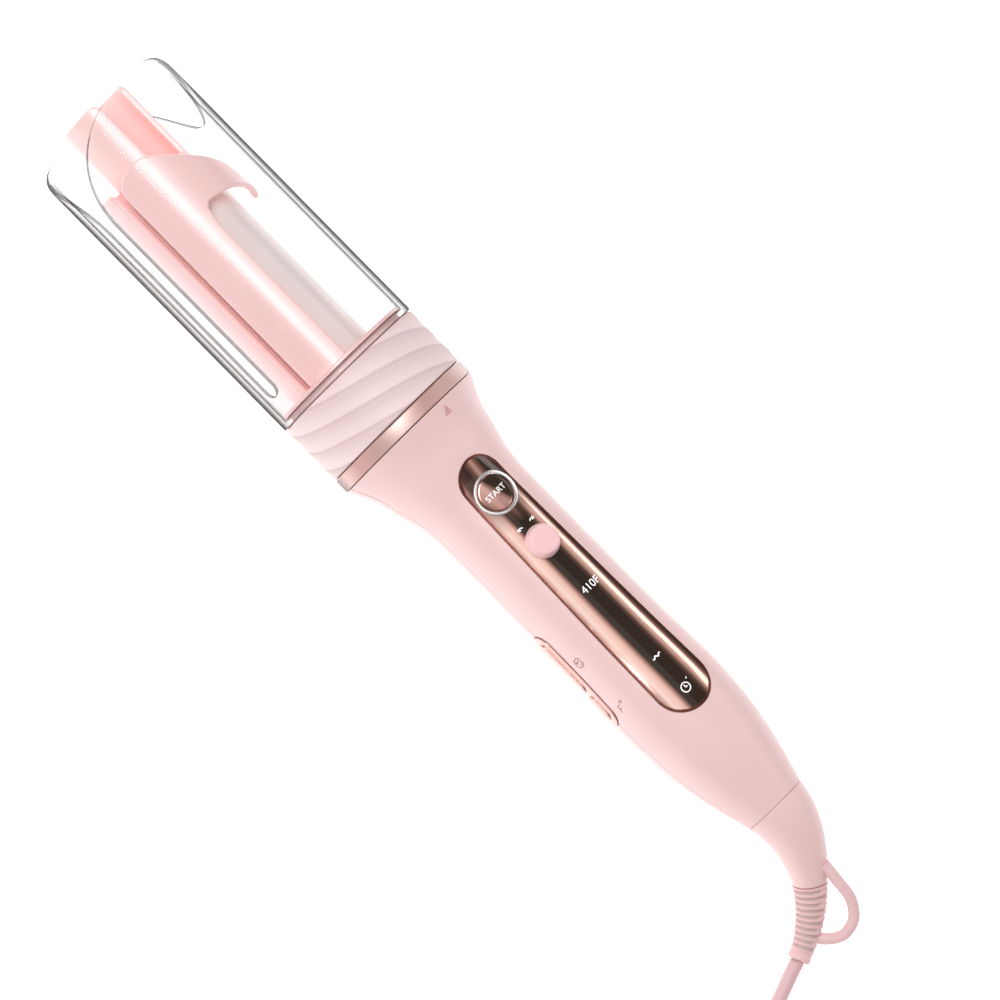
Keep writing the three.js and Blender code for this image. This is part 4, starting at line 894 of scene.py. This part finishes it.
TIP_OUTER = 12.4
TIP_INNER = 10.2
TIP_OPENING = (75.0, 351.5)
tip_u = [math.radians(a) * TIP_OUTER for a in TIP_OPENING]
tip_corners = [(tip_u[0], -1.4), (tip_u[1], -1.4), (tip_u[1], 29.9), (tip_u[0], 29.9)]
tip_outline = fillet(tip_corners, [3.2, 3.2, 0.2, 0.2], 10)
floor_profile = [(0, 27.9), (TIP_INNER - 0.4, 27.9), (12.2, 27.95), (12.4, 28.2), (12.4, 29.6), (12.2, 29.9),
                 (11.6, 29.9), (11.6, 35.5), (0, 35.5)]
plate("tip_sleeve", "handle", [resample(tip_outline, 1.0)], on_cylinder(TIP_OUTER), TIP_INNER, TIP_OUTER,
      tip_pink.material, 0.7, (1.0, 2.0), ("barrel_tip",), steps=4)
piece_from("tip_floor", "handle", *turned_disc(floor_profile, 72), tip_pink.material)

barrel_profile = fillet([(11.9, 30.0), (12.7, 30.0), (12.7, 116.4), (11.9, 116.4)], 0.25, 3)
piece_from("barrel_tube", "handle", *turned(resample(barrel_profile, 6.0)), barrel_coat.material, ("barrel",))

# ---------------------------------------------------------------- rotor

ROTOR_RADIUS = 19.5
ROTOR_INNER = 17.3
ROTOR_FOOT = 110.6
HOOK_RIM = [(-59, 28), (-55, 24), (-37.5, 21.3), (-21, 21.3), (-5, 24.4), (9, 28.4), (35, 35.3), (51, 40.3),
            (65, 47.5), (78, 51.0), (84, 52.6)]
HOOK_BACK = [(-9.6, 56), (-7.5, 49.5), (-4, 46.8), (0, 46), (30, 47.5), (65, 51.5), (84, 54.4)]
ARM_SIDES = (-59.0, -9.6)


def arm_outline():
    """The arm with its hook, unrolled: front rim, hook tip, hook back and the arm's free edge."""
    def unrolled(angle, station):
        return (math.radians(angle) * ROTOR_RADIUS, station)

    front = [unrolled(a, smooth_through(HOOK_RIM, a)) for a in spread(ARM_SIDES[0] + 4, 84, 70)]
    back = [unrolled(a, smooth_through(HOOK_BACK, a)) for a in spread(84, -3.5, 44)]
    curve = [(-6.2, 47.6), (-8.0, 50.2), (-9.2, 53.4), (-9.6, 57.0)]
    back += [unrolled(a, v) for a, v in curve]
    arm_edge = [unrolled(ARM_SIDES[1], v) for v in spread(60, ROTOR_FOOT, 22)]
    far_edge = [unrolled(ARM_SIDES[0], v) for v in spread(ROTOR_FOOT, 28.6, 36)]
    corner = [unrolled(a, v) for a, v in ((-58.7, 26.9), (-58.0, 25.6), (-56.7, 24.6))]
    return front + back + arm_edge + far_edge + corner


def wall_outline():
    sides = [math.radians(a) * ROTOR_RADIUS for a in (-170, -70)]
    corners = [(sides[0], 22.5), (sides[1], 22.5), (sides[1], ROTOR_FOOT), (sides[0], ROTOR_FOOT)]
    return resample(fillet(corners, [5.0, 4.0, 0, 0], 10), 1.6)


on_rotor = on_cylinder(ROTOR_RADIUS)
plate("rotor_arm", "rotor", [arm_outline()], on_rotor, ROTOR_INNER, ROTOR_RADIUS, rotor_pink.material,
      0.75, (1.3, 2.6), ("rotor_cage",), steps=4)
plate("rotor_wall", "rotor", [wall_outline()], on_rotor, ROTOR_INNER, ROTOR_RADIUS, rotor_pink.material,
      0.75, (1.3, 2.6), steps=4)
cup_profile = fillet(
    [(13.3, 109.8), (24.9, 109.8), (24.9, 111.1), (23.0, 111.1), (23.0, 118.0), (20.6, 118.0), (20.6, 133.3),
     (19.05, 133.3), (19.05, 120.4), (10.2, 120.4), (10.2, 125.2), (8.3, 125.2), (8.3, 118.5), (13.3, 118.5)],
    [0.5] * 2 + [0.2] * 12, 4)
piece_from("rotor_cup", "rotor", *turned(cup_profile), rotor_pink.material)

# ---------------------------------------------------------------- collar and trim ring

COLLAR_RADIUS = 27.3
COLLAR_SPAN = (113.75, 135.6)
WAVE_DEPTH = 0.3


def wave(angle, station):
    """Height of the collar's twisted waves: each one rises slowly and drops quickly."""
    phase = COLLAR_WAVES * station / WAVE_TWIST - COLLAR_WAVES * angle / 360
    t = phase - math.floor(phase)
    return smoothstep(t, 0, 0.75) if t < 0.75 else 1 - smoothstep(t, 0.75, 1)


def collar_loops():
    first, last = COLLAR_SPAN
    edge = 0.8
    rounding = [(edge * (1 - math.sin(a)), edge * (1 - math.cos(a))) for a in spread(0, math.pi / 2, 5)]
    rows = [(first + along, drop) for along, drop in rounding[::-1]]
    rows += [(s, 0.0) for s in spread(first + edge, last - edge, 40)[1:-1]]
    rows += [(last - along, drop) for along, drop in rounding]
    angles = spread(0, 360, 288)[:-1]
    loops = [[polar(a, COLLAR_RADIUS - drop - WAVE_DEPTH * (1 - wave(a, station)), station) for a in angles]
             for station, drop in rows]
    inner = [(25.3, last), (25.3, 127), (24.5, 127), (24.5, 126.5), (25.3, 126.0), (25.3, first)]
    return loops + [[polar(a, r, s) for a in angles] for r, s in inner]


collar = piece_from("wave_collar_skin", "handle", *loft(collar_loops(), ring=True), collar_pink_wave_shade.material,
                    ("wave_collar",), sharp=60)
ring_profile = fillet([(24.6, 135.9), (27.2, 135.9), (27.2, 140.8), (24.6, 140.8)], [0.1, 0.45, 0.3, 0.1], 5)
piece_from("trim_ring_bright", "handle", *turned(ring_profile, 192), ring_chrome_painted_reflections.material, ("trim_ring",))

# ---------------------------------------------------------------- handle

HANDLE_PROFILE = [
    (141.1, 27.2), (146, 24.7), (151, 22.6), (157, 21.1), (163, 19.3), (170, 18.0), (182, 17.7), (210, 17.65),
    (235, 17.8), (257, 18.5), (268, 18.1), (279, 17.1), (291, 15.0), (305.2, 11.3),
]
SQUARENESS = 0.045
HANDLE_SPAN = (141.1, 305.2)
HANDLE_WALL = 2.4
HANDLE_GRIP = 17.7  # radius that the handle is unrolled at
FIT = 0.3
PANEL = (160.0, 266.0, 7.75, 10.0)
SIDE = (215.0, 252.5, 4.75)
SIDE_KEYS = {"mode": (217.6, 238.4), "unit": (240.0, 249.9)}
KEY_HALF = 2.3


def handle_radius(station, angle):
    square = SQUARENESS * smoothstep(station, 148, 172) * (1 - smoothstep(station, 272, 300))
    swell = (1 - math.cos(4 * math.radians(angle))) / 2
    return smooth_through(HANDLE_PROFILE, station) * (1 + square * swell)


def panel_angle(x, station):
    angle = 0.0
    for _ in range(4):
        angle = -math.degrees(math.asin(x / handle_radius(station, angle)))
    return angle


def panel_height(x, station):
    angle = panel_angle(x, station)
    return handle_radius(station, angle) * math.cos(math.radians(angle))


def on_panel(x, station, height):
    return row_point(x, station, panel_height(x, station) + height)


def on_handle(u, v, height):
    angle = math.degrees(u / HANDLE_GRIP)
    return polar(angle, handle_radius(v, angle) + height, v)


SIDE_ANGLE = 95
SIDE_HEIGHT = handle_radius((SIDE[0] + SIDE[1]) / 2, SIDE_ANGLE) * math.cos(math.radians(SIDE_ANGLE))


def side_reach(z, station):
    angle = -90.0
    for _ in range(4):
        angle = -math.degrees(math.acos(z / handle_radius(station, angle)))
    return -handle_radius(station, angle) * math.sin(math.radians(angle))


def on_side(v, u, height):
    """A place on the handle's left side: v is the station, u the height over the side trim's middle."""
    z = SIDE_HEIGHT + u
    return row_point(side_reach(z, v) + height, v, z)


def stadium_half(station, start, end, start_half, end_half):
    half = start_half + (end_half - start_half) * (station - start) / (end - start)
    near = clamp(station - start, 0, start_half)
    far = clamp(end - station, 0, end_half)
    round_start = math.sqrt(max(start_half ** 2 - (start_half - near) ** 2, 0)) / start_half
    round_end = math.sqrt(max(end_half ** 2 - (end_half - far) ** 2, 0)) / end_half
    return half * min(round_start, round_end)


def stadium_outline(start, end, start_half, end_half, grow=0.0):
    """(across, station) points round a stadium, with the inside on the left."""
    start, end, start_half, end_half = start - grow, end + grow, start_half + grow, end_half + grow
    stations = [start + start_half * (1 - math.cos(a)) for a in spread(0, math.pi / 2, 14)]
    stations += spread(start + start_half, end - end_half, 36)[1:-1]
    stations += [end - end_half * (1 - math.cos(a)) for a in spread(math.pi / 2, 0, 14)]
    one_side = [(stadium_half(s, start, end, start_half, end_half), s) for s in stations]
    return one_side + [(-x, s) for x, s in one_side[-2:0:-1]]


def side_edge(station, upper):
    """How far, in degrees, the side trim's recess cuts into a shell from the seam."""
    if not SIDE[0] - FIT <= station <= SIDE[1] + FIT:
        return 0.0
    half = stadium_half(station, SIDE[0] - FIT, SIDE[1] + FIT, SIDE[2] + FIT, SIDE[2] + FIT)
    z = SIDE_HEIGHT + half if upper else half - SIDE_HEIGHT
    return math.degrees(math.asin(max(z, 0) / HANDLE_GRIP))


def shell_outline(upper):
    """A shell's outline, unrolled: the seam edges with the side trim's recess in one of them."""
    gap = 0.35
    first, last = (-90 + gap, 90 - gap) if upper else (90 + gap, 270 - gap)
    stations = spread(HANDLE_SPAN[0], SIDE[0] - 1, 34) + spread(SIDE[0] - 0.8, SIDE[1] + 0.8, 90)
    stations += spread(SIDE[1] + 1, HANDLE_SPAN[1], 26)
    lower_side = []
    upper_side = []
    for station in stations:
        cut = side_edge(station, upper)
        lower_side.append((max(first, -90 + cut) if upper else first, station))
        upper_side.append((last if upper else min(last, 270 - cut), station))
    front = [(a, HANDLE_SPAN[0]) for a in spread(lower_side[0][0], upper_side[0][0], 60)]
    back = [(a, HANDLE_SPAN[1]) for a in spread(upper_side[-1][0], lower_side[-1][0], 60)]
    loop = front + upper_side[1:] + back[1:] + lower_side[-2:0:-1]
    return [(math.radians(a) * HANDLE_GRIP, v) for a, v in loop]


panel_hole = [(math.radians(panel_angle(x, s)) * HANDLE_GRIP, s)
              for x, s in stadium_outline(*PANEL, grow=FIT)]
SHELL_PITCH = (1.3, 2.4)
plate("handle_front", "handle", [shell_outline(True), panel_hole], on_handle, -HANDLE_WALL, 0.0,
      handle_pink.material, 0.22, SHELL_PITCH, ("handle_upper",))
plate("handle_back", "handle", [shell_outline(False)], on_handle, -HANDLE_WALL, 0.0,
      handle_pink.material, 0.22, SHELL_PITCH, ("handle_lower",))

MARK_STATION = 144.6
mark = [(0, MARK_STATION - 1.9), (1.7, MARK_STATION + 1.4), (-1.7, MARK_STATION + 1.4)]
MARK_ANGLE = 12.0
NECK_GRIP = 25.0  # radius that the neck is unrolled at


def on_neck(u, v, height):
    angle = MARK_ANGLE - math.degrees(u / NECK_GRIP)
    return polar(angle, handle_radius(v, angle) + height, v)


plate("lock_mark", "handle", [fillet(mark, 0.25, 3)], on_neck, -0.5, 0.06, mark_pink.material, 0.05,
      (0.8, 0.8))

# ---------------------------------------------------------------- panel and its controls

START_STATION = 173.7
KNOB_STATION = 194.7
BUTTON_RADIUS = 5.8
BUTTON_TOP = 0.4  # height of the start button over the panel
PRINT_ROOT = -0.03  # how deep print and lettering reach into the surface under them

panel_painted_reflections = Shader("panel_mirror", "#6b4a3c", 0.14, 0.45, Coat_Weight=0.4, Coat_Roughness=0.06)
panel_x, panel_y, _ = panel_painted_reflections.axes()
half_slope = (PANEL[3] - PANEL[2]) / (PANEL[1] - PANEL[0])
half_at_origin = (PANEL[2] + half_slope * (ORIGIN_STATION - PANEL[0])) * MM
widening = panel_painted_reflections.math("MULTIPLY", panel_x, -half_slope)
half_here = panel_painted_reflections.math("ADD", widening, half_at_origin)
across_panel = panel_painted_reflections.math(
    "ADD", panel_painted_reflections.math("MULTIPLY", panel_painted_reflections.math("DIVIDE", panel_y, half_here), 0.5), 0.5)
# painted reflections: dark and light bands across the mirror panel stand in for what it reflects, with other
# bands round the start button
long_painted_reflections = panel_painted_reflections.ramp(across_panel, [
    (0.0, "#5d3a2f"), (0.05, "#2a1a10"), (0.10, "#8d5f52"), (0.15, "#f0c3b4"), (0.24, "#e4b3a2"),
    (0.31, "#6a4638"), (0.37, "#32200f"), (0.66, "#2d1d0c"), (0.70, "#9d6f61"), (0.76, "#f0c0b0"),
    (0.88, "#ffdccf"), (0.96, "#d9a798"), (1.0, "#8a4f44"),
])
start_painted_reflections = panel_painted_reflections.ramp(across_panel, [
    (0.0, "#7a4a40"), (0.06, "#3a2417"), (0.30, "#2f1d10"), (0.40, "#8d5f52"), (0.47, "#d4a293"),
    (0.56, "#7c5245"), (0.66, "#38231a"), (0.86, "#5c3b31"), (0.94, "#b27c6e"), (1.0, "#7a463d"),
])
BLEND_SPAN = (186, 172)  # stations between which the long bands of painted reflection give way to those round the start button
blend_zone = panel_painted_reflections.ranged(panel_x, 0.0, 1.0, *[(ORIGIN_STATION - s) * MM for s in BLEND_SPAN])
panel_painted_reflections.colour(panel_painted_reflections.mixed(blend_zone, long_painted_reflections, start_painted_reflections))
panel_painted_reflections.rough(panel_painted_reflections.ranged(panel_painted_reflections.noise(220.0), 0.07, 0.13))
rim_dark = metal("panel_rim_metal", "#6b3f38", 0.3, bump=0.0)

start_hole = circle(0, START_STATION, 6.7, 72)[::-1]
knob_hole = circle(0, KNOB_STATION, 6.15, 72)[::-1]
panel_loop = stadium_outline(*PANEL)
plate("panel_mirror", "handle", [panel_loop, start_hole, knob_hole], on_panel, -1.1, 0.0,
      panel_painted_reflections.material, 0.4, (1.2, 2.4), ("panel_fascia",), steps=4)
rim_inner = stadium_outline(*PANEL, grow=-0.22)[::-1]
plate("panel_rim", "handle", [stadium_outline(*PANEL, grow=0.12), rim_inner], on_panel, -0.3, 0.16,
      rim_dark.material, 0.1, (2.0, 2.4))


def on_panel_turned(station):
    """A place function for a profile of (radius, height over the panel), turned round a station."""
    def place(angle, radius, height):
        a = math.radians(angle)
        x, s = radius * math.sin(a), station + radius * math.cos(a)
        return on_panel(x, s, height)
    return place


on_start = on_panel_turned(START_STATION)
ring_outline = fillet([(6.1, -1.5), (6.45, -1.5), (6.45, 0.3), (7.25, 0.3), (7.25, 0.5), (6.95, 0.75),
                       (6.4, 0.75), (6.1, 0.4)], [0, 0, 0.05, 0.1, 0.12, 0.15, 0.15, 0.1], 4)
piece_from("start_ring_bright", "handle", *turned(ring_outline, 120, on_start), silver.material,
           ("start_ring",))

button_painted_reflections = Shader("button_painted_reflections", "#b98a7e", 0.14, 0.6, Coat_Weight=0.5, Coat_Roughness=0.05)
button_x, button_y, _ = button_painted_reflections.axes()
along_button = button_painted_reflections.math("SUBTRACT", button_x, (ORIGIN_STATION - START_STATION) * MM)
slanted = button_painted_reflections.math("ADD", button_painted_reflections.math("MULTIPLY", along_button, 0.35),
                             button_painted_reflections.math("MULTIPLY", button_y, -0.94))
# painted reflection: light and dark bands along a slanted line across the start button's mirror face stand in
# for what it reflects
button_painted_reflections.colour(button_painted_reflections.ramp(
    button_painted_reflections.ranged(slanted, 0.0, 1.0, -BUTTON_RADIUS * MM, BUTTON_RADIUS * MM),
    [(0.0, "#7a5347"), (0.18, "#c69186"), (0.45, "#dcaba1"), (0.56, "#a3766a"), (0.62, "#40291d"),
     (1.0, "#33200f")]))
button_painted_reflections.rough(button_painted_reflections.ranged(button_painted_reflections.noise(300.0), 0.1, 0.18))
button_profile = [(0, -4.4), (1.4, -4.4), (1.5, -4.3), (1.5, -1.7), (5.7, -1.7), (5.8, -1.6), (5.8, 0.05),
                  (5.72, 0.22), (5.55, 0.34), (5.2, 0.4), (4.2, 0.4), (3.0, 0.4), (1.6, 0.4), (0, 0.4)]
piece_from("start_button_cap", "start_button", *turned_disc(button_profile, 96, on_start),
           button_painted_reflections.material, ("start_button",))

knob_crown = panel_height(0, KNOB_STATION)


def on_knob(angle, radius, height):
    a = math.radians(angle)
    return row_point(radius * math.sin(a), KNOB_STATION + radius * math.cos(a), knob_crown + height)


knob_profile = [(0, -1.9)] + fillet(
    [(0.5, -1.9), (4.8, -1.9), (5.45, -1.2), (5.65, 0.4), (4.85, 2.9), (4.3, 3.45), (0.4, 3.3)],
    [0, 0.3, 0.3, 0.5, 0.5, 0.6, 0], 6, closed=False) + [(0, 3.3)]
piece_from("rocker_knob", "direction_knob", *turned_disc(knob_profile, 96, on_knob), knob_pink.material,
           ("direction_knob",), sharp=50)


def lettering(name, body, text, height, station, place, material, x=0.0, spacing=1.0):
    """Text that lies on the panel: it reads across the handle, with its top towards the tip."""
    data = bpy.data.curves.new(name, "FONT")
    data.body = text
    data.size = height
    data.align_x = "CENTER"
    data.align_y = "CENTER"
    data.space_character = spacing
    data.resolution_u = 6
    maker = placed(name, data)
    outline = bpy.data.meshes.new_from_object(maker.evaluated_get(bpy.context.evaluated_depsgraph_get()))
    bpy.data.objects.remove(maker)
    work = bmesh.new()
    work.from_mesh(outline)
    bmesh.ops.subdivide_edges(work, edges=[e for e in work.edges if e.calc_length() > 0.3 * height], cuts=2)
    bmesh.ops.triangulate(work, faces=work.faces)
    bmesh.ops.remove_doubles(work, verts=work.verts, dist=1e-5)
    work.verts.index_update()
    face_list = [tuple(v.index for v in f.verts) for f in work.faces]
    rims = [(e.verts[0].index, e.verts[1].index) for e in work.edges if len(e.link_faces) == 1]
    flat = [(x - v.co.x, station - v.co.y) for v in work.verts]
    work.free()
    count = len(flat)
    points = [place(u, s, level) for level in (0.035, PRINT_ROOT) for u, s in flat]
    faces = face_list + [tuple(i + count for i in f[::-1]) for f in face_list]
    faces += [(a, b, b + count, a + count) for a, b in rims]
    return piece_from(name, body, points, faces, material)


def on_button(x, station, height):
    return on_panel(x, station, BUTTON_TOP + height)


lettering("start_label", "start_button", "START", 2.75, START_STATION, on_button, white_print_glow.material,
          spacing=1.02)


def stroke(name, body, lines, width, place, material, height=0.04):
    """Thin printed lines on a surface, as flat ribbons with a little thickness."""
    parts = []
    for line in lines:
        closed = line[0] == line[-1]
        line = resample(line[:-1] if closed else line, 0.35, closed)
        count = len(line)
        section = []
        for i, point in enumerate(line):
            before = line[i - 1] if closed or i else point
            after = line[(i + 1) % count] if closed or i < count - 1 else point
            along = (Vector(after) - Vector(before)).normalized()
            side = Vector((-along.y, along.x)) * width / 2
            a, b = Vector(point) + side, Vector(point) - side
            section.append([place(a.x, a.y, height), place(b.x, b.y, height),
                            place(b.x, b.y, PRINT_ROOT), place(a.x, a.y, PRINT_ROOT)])
        parts.append(loft(section, not closed, ring=closed))
    return piece_from(name, body, *merged(*parts), material)


def arc(x, station, radius, start, end, steps=16):
    return [(x + radius * math.cos(math.radians(a)), station + radius * math.sin(math.radians(a)))
            for a in spread(start, end, steps)]


DISPLAY_STATION = 215.0
lettering("display_digits", "handle", "410F", 3.7, DISPLAY_STATION, on_panel, white_print_glow.material, x=-1.2)

ARROW_STATION = 187.6
arrow_lines = []
for side in (1, -1):
    bow = arc(side * 2.6, ARROW_STATION + 0.4, 1.0, *(-150, -30)[::side])
    arrow_lines.append(bow)
    tip = bow[-1]
    arrow_lines.append([(tip[0] - side * 0.1, tip[1] - 0.85), tip, (tip[0] - side * 0.85, tip[1] + 0.05)])
stroke("turn_arrows", "handle", arrow_lines, 0.34, on_panel, white_print_glow.material)

WAVE_STATION = 245.3
wave_line = [(1.7 - 0.17 * k, WAVE_STATION + 0.35 * math.sin(k * 0.62)) for k in range(21)]
stroke("curl_icon", "handle", [wave_line], 0.42, on_panel, white_print_glow.material)
CLOCK_STATION = 258.6
clock_lines = [arc(0.4, CLOCK_STATION, 1.55, 0, 360, 40)]
clock_lines[0][-1] = clock_lines[0][0]
clock_lines.append([(0.4, CLOCK_STATION - 0.95), (0.4, CLOCK_STATION), (-0.35, CLOCK_STATION)])
clock_lines.append([(-1.7, CLOCK_STATION - 1.9), (-2.1, CLOCK_STATION - 2.3)])
stroke("clock_icon", "handle", clock_lines, 0.36, on_panel, white_print_glow.material)


SIDE_PRINT_ANGLE = -64.0


def on_side_print(u, station, height):
    """A place on the handle's skin between the side trim and the panel; u runs towards the panel."""
    angle = SIDE_PRINT_ANGLE + math.degrees(u / HANDLE_GRIP)
    return polar(angle, handle_radius(station, angle) + height, station)


curl_icon = [arc(0, 230.0, 1.7, 20, 330, 28), arc(0.2, 230.1, 0.9, 180, 480, 22),
             arc(-0.5, 228.9, 0.9, 60, 220, 12)]
stroke("side_curl_icon", "handle", curl_icon, 0.24, on_side_print, print_brown.material)
unit_icon = [[(-0.9, 248.2), (-0.9, 250.6)], [(-0.9, 248.2), (0.5, 248.2)], [(-0.9, 249.4), (0.2, 249.4)],
             arc(1.5, 247.6, 0.45, 0, 350, 12)]
stroke("side_unit_icon", "handle", unit_icon, 0.24, on_side_print, print_brown.material)

# ---------------------------------------------------------------- side trim and its keys


def key_outline(start, end, half, grow=0.0):
    """(station, across) points round a stadium, with the inside on the left."""
    return [(s, x) for x, s in stadium_outline(start, end, half, half, grow)][::-1]


side_holes = [key_outline(*SIDE_KEYS[name], KEY_HALF, 0.35)[::-1] for name in SIDE_KEYS]
plate("side_trim", "handle", [key_outline(*SIDE), *side_holes], on_side, -1.3, 0.45, rose_chrome.material,
      0.3, (2.0, 1.2), ("side_bezel",))
for name, span in SIDE_KEYS.items():
    plate(f"{name}_key", f"{name}_button", [key_outline(*span, KEY_HALF)], on_side, -1.9, 0.95,
          rose_chrome.material, 0.4, (1.5, 0.9), (f"{name}_button",), steps=4)

# ---------------------------------------------------------------- tail, strain relief and hanging loop

TAIL_POINTS = [Vector(p) for p in (
    (0, 305.5, 0), (0, 322.6, 0), (8.4, 340.7, -16.75), (23.7, 346.3, -21.0))]
TAIL_SPLIT = 0.52
TAIL_RADII = (11.25, 5.7, 3.5)
RELIEF_RIBS = 11
FLANGE = 0.965


def bezier(t):
    a, b, c, d = TAIL_POINTS
    return a * (1 - t) ** 3 + b * 3 * t * (1 - t) ** 2 + c * 3 * t * t * (1 - t) + d * t ** 3


TAIL_STEPS = 400
tail_steps = [bezier(k / TAIL_STEPS) for k in range(TAIL_STEPS + 1)]
tail_reach = [0.0]
for first, second in zip(tail_steps, tail_steps[1:]):
    tail_reach.append(tail_reach[-1] + (second - first).length)
TAIL_LENGTH = tail_reach[-1]


def tail_at(t):
    """Centre and direction at a part of the tail curve's length."""
    k = int(np.clip(np.searchsorted(tail_reach, t * TAIL_LENGTH) - 1, 0, TAIL_STEPS - 1))
    start, end = tail_steps[k], tail_steps[k + 1]
    step = (t * TAIL_LENGTH - tail_reach[k]) / (tail_reach[k + 1] - tail_reach[k])
    before, after = max((k - 1 + step) / TAIL_STEPS, 0), min((k + 1 + step) / TAIL_STEPS, 1)
    return start + (end - start) * step, bezier(after) - bezier(before)


def tail_radius(t):
    if t <= TAIL_SPLIT:
        u = t / TAIL_SPLIT
        return TAIL_RADII[0] + (TAIL_RADII[1] - TAIL_RADII[0]) * (0.78 * u + 0.22 * u * u * (3 - 2 * u))
    return TAIL_RADII[1] + (TAIL_RADII[2] - TAIL_RADII[1]) * (t - TAIL_SPLIT) / (1 - TAIL_SPLIT)


def tail_loop(t, radius_at, sides):
    centre, along = tail_at(t)
    above = Vector((1, 0, 0)).cross(along).normalized()
    sideways = along.normalized().cross(above)
    loop = []
    for k in range(sides):
        a = 2 * math.pi * k / sides
        r = radius_at(math.degrees(a))
        loop.append(row_point(*(centre + above * r * math.cos(a) + sideways * r * math.sin(a))))
    return loop


def cap_loops():
    edge = 0.35 / TAIL_LENGTH
    rows = [(0.0, -0.2), (edge * 0.3, -0.06), (edge, 0.0)]
    rows += [(t, 0.0) for t in spread(edge, TAIL_SPLIT - 2 * edge, 60)[1:]]
    rows += [(TAIL_SPLIT - edge, -0.06), (TAIL_SPLIT - 0.3 * edge, -0.2), (TAIL_SPLIT, -0.5)]
    loops = [tail_loop(t, lambda _, t=t, drop=drop: tail_radius(t) + drop, 96) for t, drop in rows]
    spigot_rows = ((8.5, 303.2), (8.5, 305.24), (10.9, 305.26), (10.9, 305.5))
    spigot = [[polar(360 * k / 96, radius, station) for k in range(96)] for radius, station in spigot_rows]
    return spigot + loops


piece_from("tail_cone", "root", *loft(cap_loops()), handle_pink.material, ("tail_cap",))

RELIEF_START = TAIL_SPLIT + FIT / TAIL_LENGTH
RELIEF_SIDES = 64
WINDOW_DEPTH = 0.8


def window_depth(t, angle):
    """How deep the relief's staggered windows are at a place: two to a row, turned by turns."""
    pitch = (FLANGE - RELIEF_START) / RELIEF_RIBS
    row_at = (t - RELIEF_START) / pitch
    rib = min(int(row_at), RELIEF_RIBS - 1)
    part = row_at - rib
    along = smoothstep(part, 0.38, 0.46) * (1 - smoothstep(part, 0.92, 1.0))
    if rib == RELIEF_RIBS - 1:
        along *= 0.5
    off = (angle + (50 if rib % 2 else 20)) % 180
    off = min(off, 180 - off)
    return along * (0.25 + 0.75 * smoothstep(off, 16, 26))


def relief_mesh():
    rows = spread(RELIEF_START, FLANGE, RELIEF_RIBS * 20)
    loops = [tail_loop(RELIEF_START, lambda _: tail_radius(RELIEF_START) - 0.5, RELIEF_SIDES)]
    depths = [[0.0] * RELIEF_SIDES]
    for t in rows[1:]:
        loops.append(tail_loop(
            t, lambda a, t=t: tail_radius(t) - WINDOW_DEPTH * window_depth(t, a), RELIEF_SIDES))
        depths.append([window_depth(t, 360 * k / RELIEF_SIDES) for k in range(RELIEF_SIDES)])
    for t, radius in ((FLANGE + 0.002, 3.8), (FLANGE + 0.012, 3.85), (0.985, 3.8), (0.996, 3.6), (1.0, 3.2),
                      (1.0, 2.4)):
        loops.append(tail_loop(t, lambda _, radius=radius: radius, RELIEF_SIDES))
        depths.append([0.0] * RELIEF_SIDES)
    return loft(loops), [d for row in depths for d in row]


LOOP_LINE = [(1.6, 329.5, -1.7), (1.5, 336.4, -3.8), (1.6, 343.5, -6.4), (4.3, 349.0, -10.1),
             (9.1, 350.6, -14.0), (13.0, 348.0, -17.0), (15.6, 344.2, -18.2)]
LOOP_RADIUS = 1.85


def tube_mesh(line, radius, sides=28):
    """A round rod along points, with its ends closed."""
    loops = []
    above = Vector((0, 0, 1))
    turns = [2 * math.pi * i / sides for i in range(sides)]
    for k, centre in enumerate(line):
        along = (line[min(k + 1, len(line) - 1)] - line[max(k - 1, 0)]).normalized()
        above = (above - along * above.dot(along)).normalized()
        sideways = along.cross(above)
        loops.append([row_point(*(centre + (above * math.cos(a) + sideways * math.sin(a)) * radius))
                      for a in turns])
    return loft(loops)


(relief_points, relief_faces), relief_depths = relief_mesh()
relief = piece_from("strain_relief_ribs", "root", relief_points, relief_faces, relief_pink.material,
                    ("strain_relief",), sharp=70)
# painted shade: the floors of the relief's windows get a darker, greyer pink
relief_recess_shade = moulded("relief_recess_shade", "#cfb8b4", "#c8b0ac", 0.6, bump=0.08)
relief.data.materials.append(relief_recess_shade.material)
for face in relief.data.polygons:
    if sum(relief_depths[v] for v in face.vertices) / len(face.vertices) > 0.5:
        face.material_index = 1
piece_from("hanging_loop", "root", *tube_mesh(catmull(LOOP_LINE, 12), LOOP_RADIUS), relief_pink.material)

# ---------------------------------------------------------------- finishes of the CAD pieces

SLOT_FINISHES = {
    "clear": clear, "pink_gloss": rotor_pink, "pink_satin": handle_pink, "soft_touch": soft_pink,
    "relief_rubber": relief_pink, "cord_rubber": cord_pink, "strap": strap_pink, "barrel_coat": barrel_coat,
    "rose_chrome": rose_chrome, "rose_mirror": panel_painted_reflections, "silver": silver, "steel": steel,
    "brass": brass, "acetal": acetal, "insulator": dark_plastic, "board": board_green, "ceramic": ceramic,
    "lead": lead_sleeve,
}
for part in frame["record"]["subparts"]:
    node = frame["nodes"][part["node"]]
    node.data.materials.clear()
    node.data.materials.append(SLOT_FINISHES[part["material_slot"]].material)
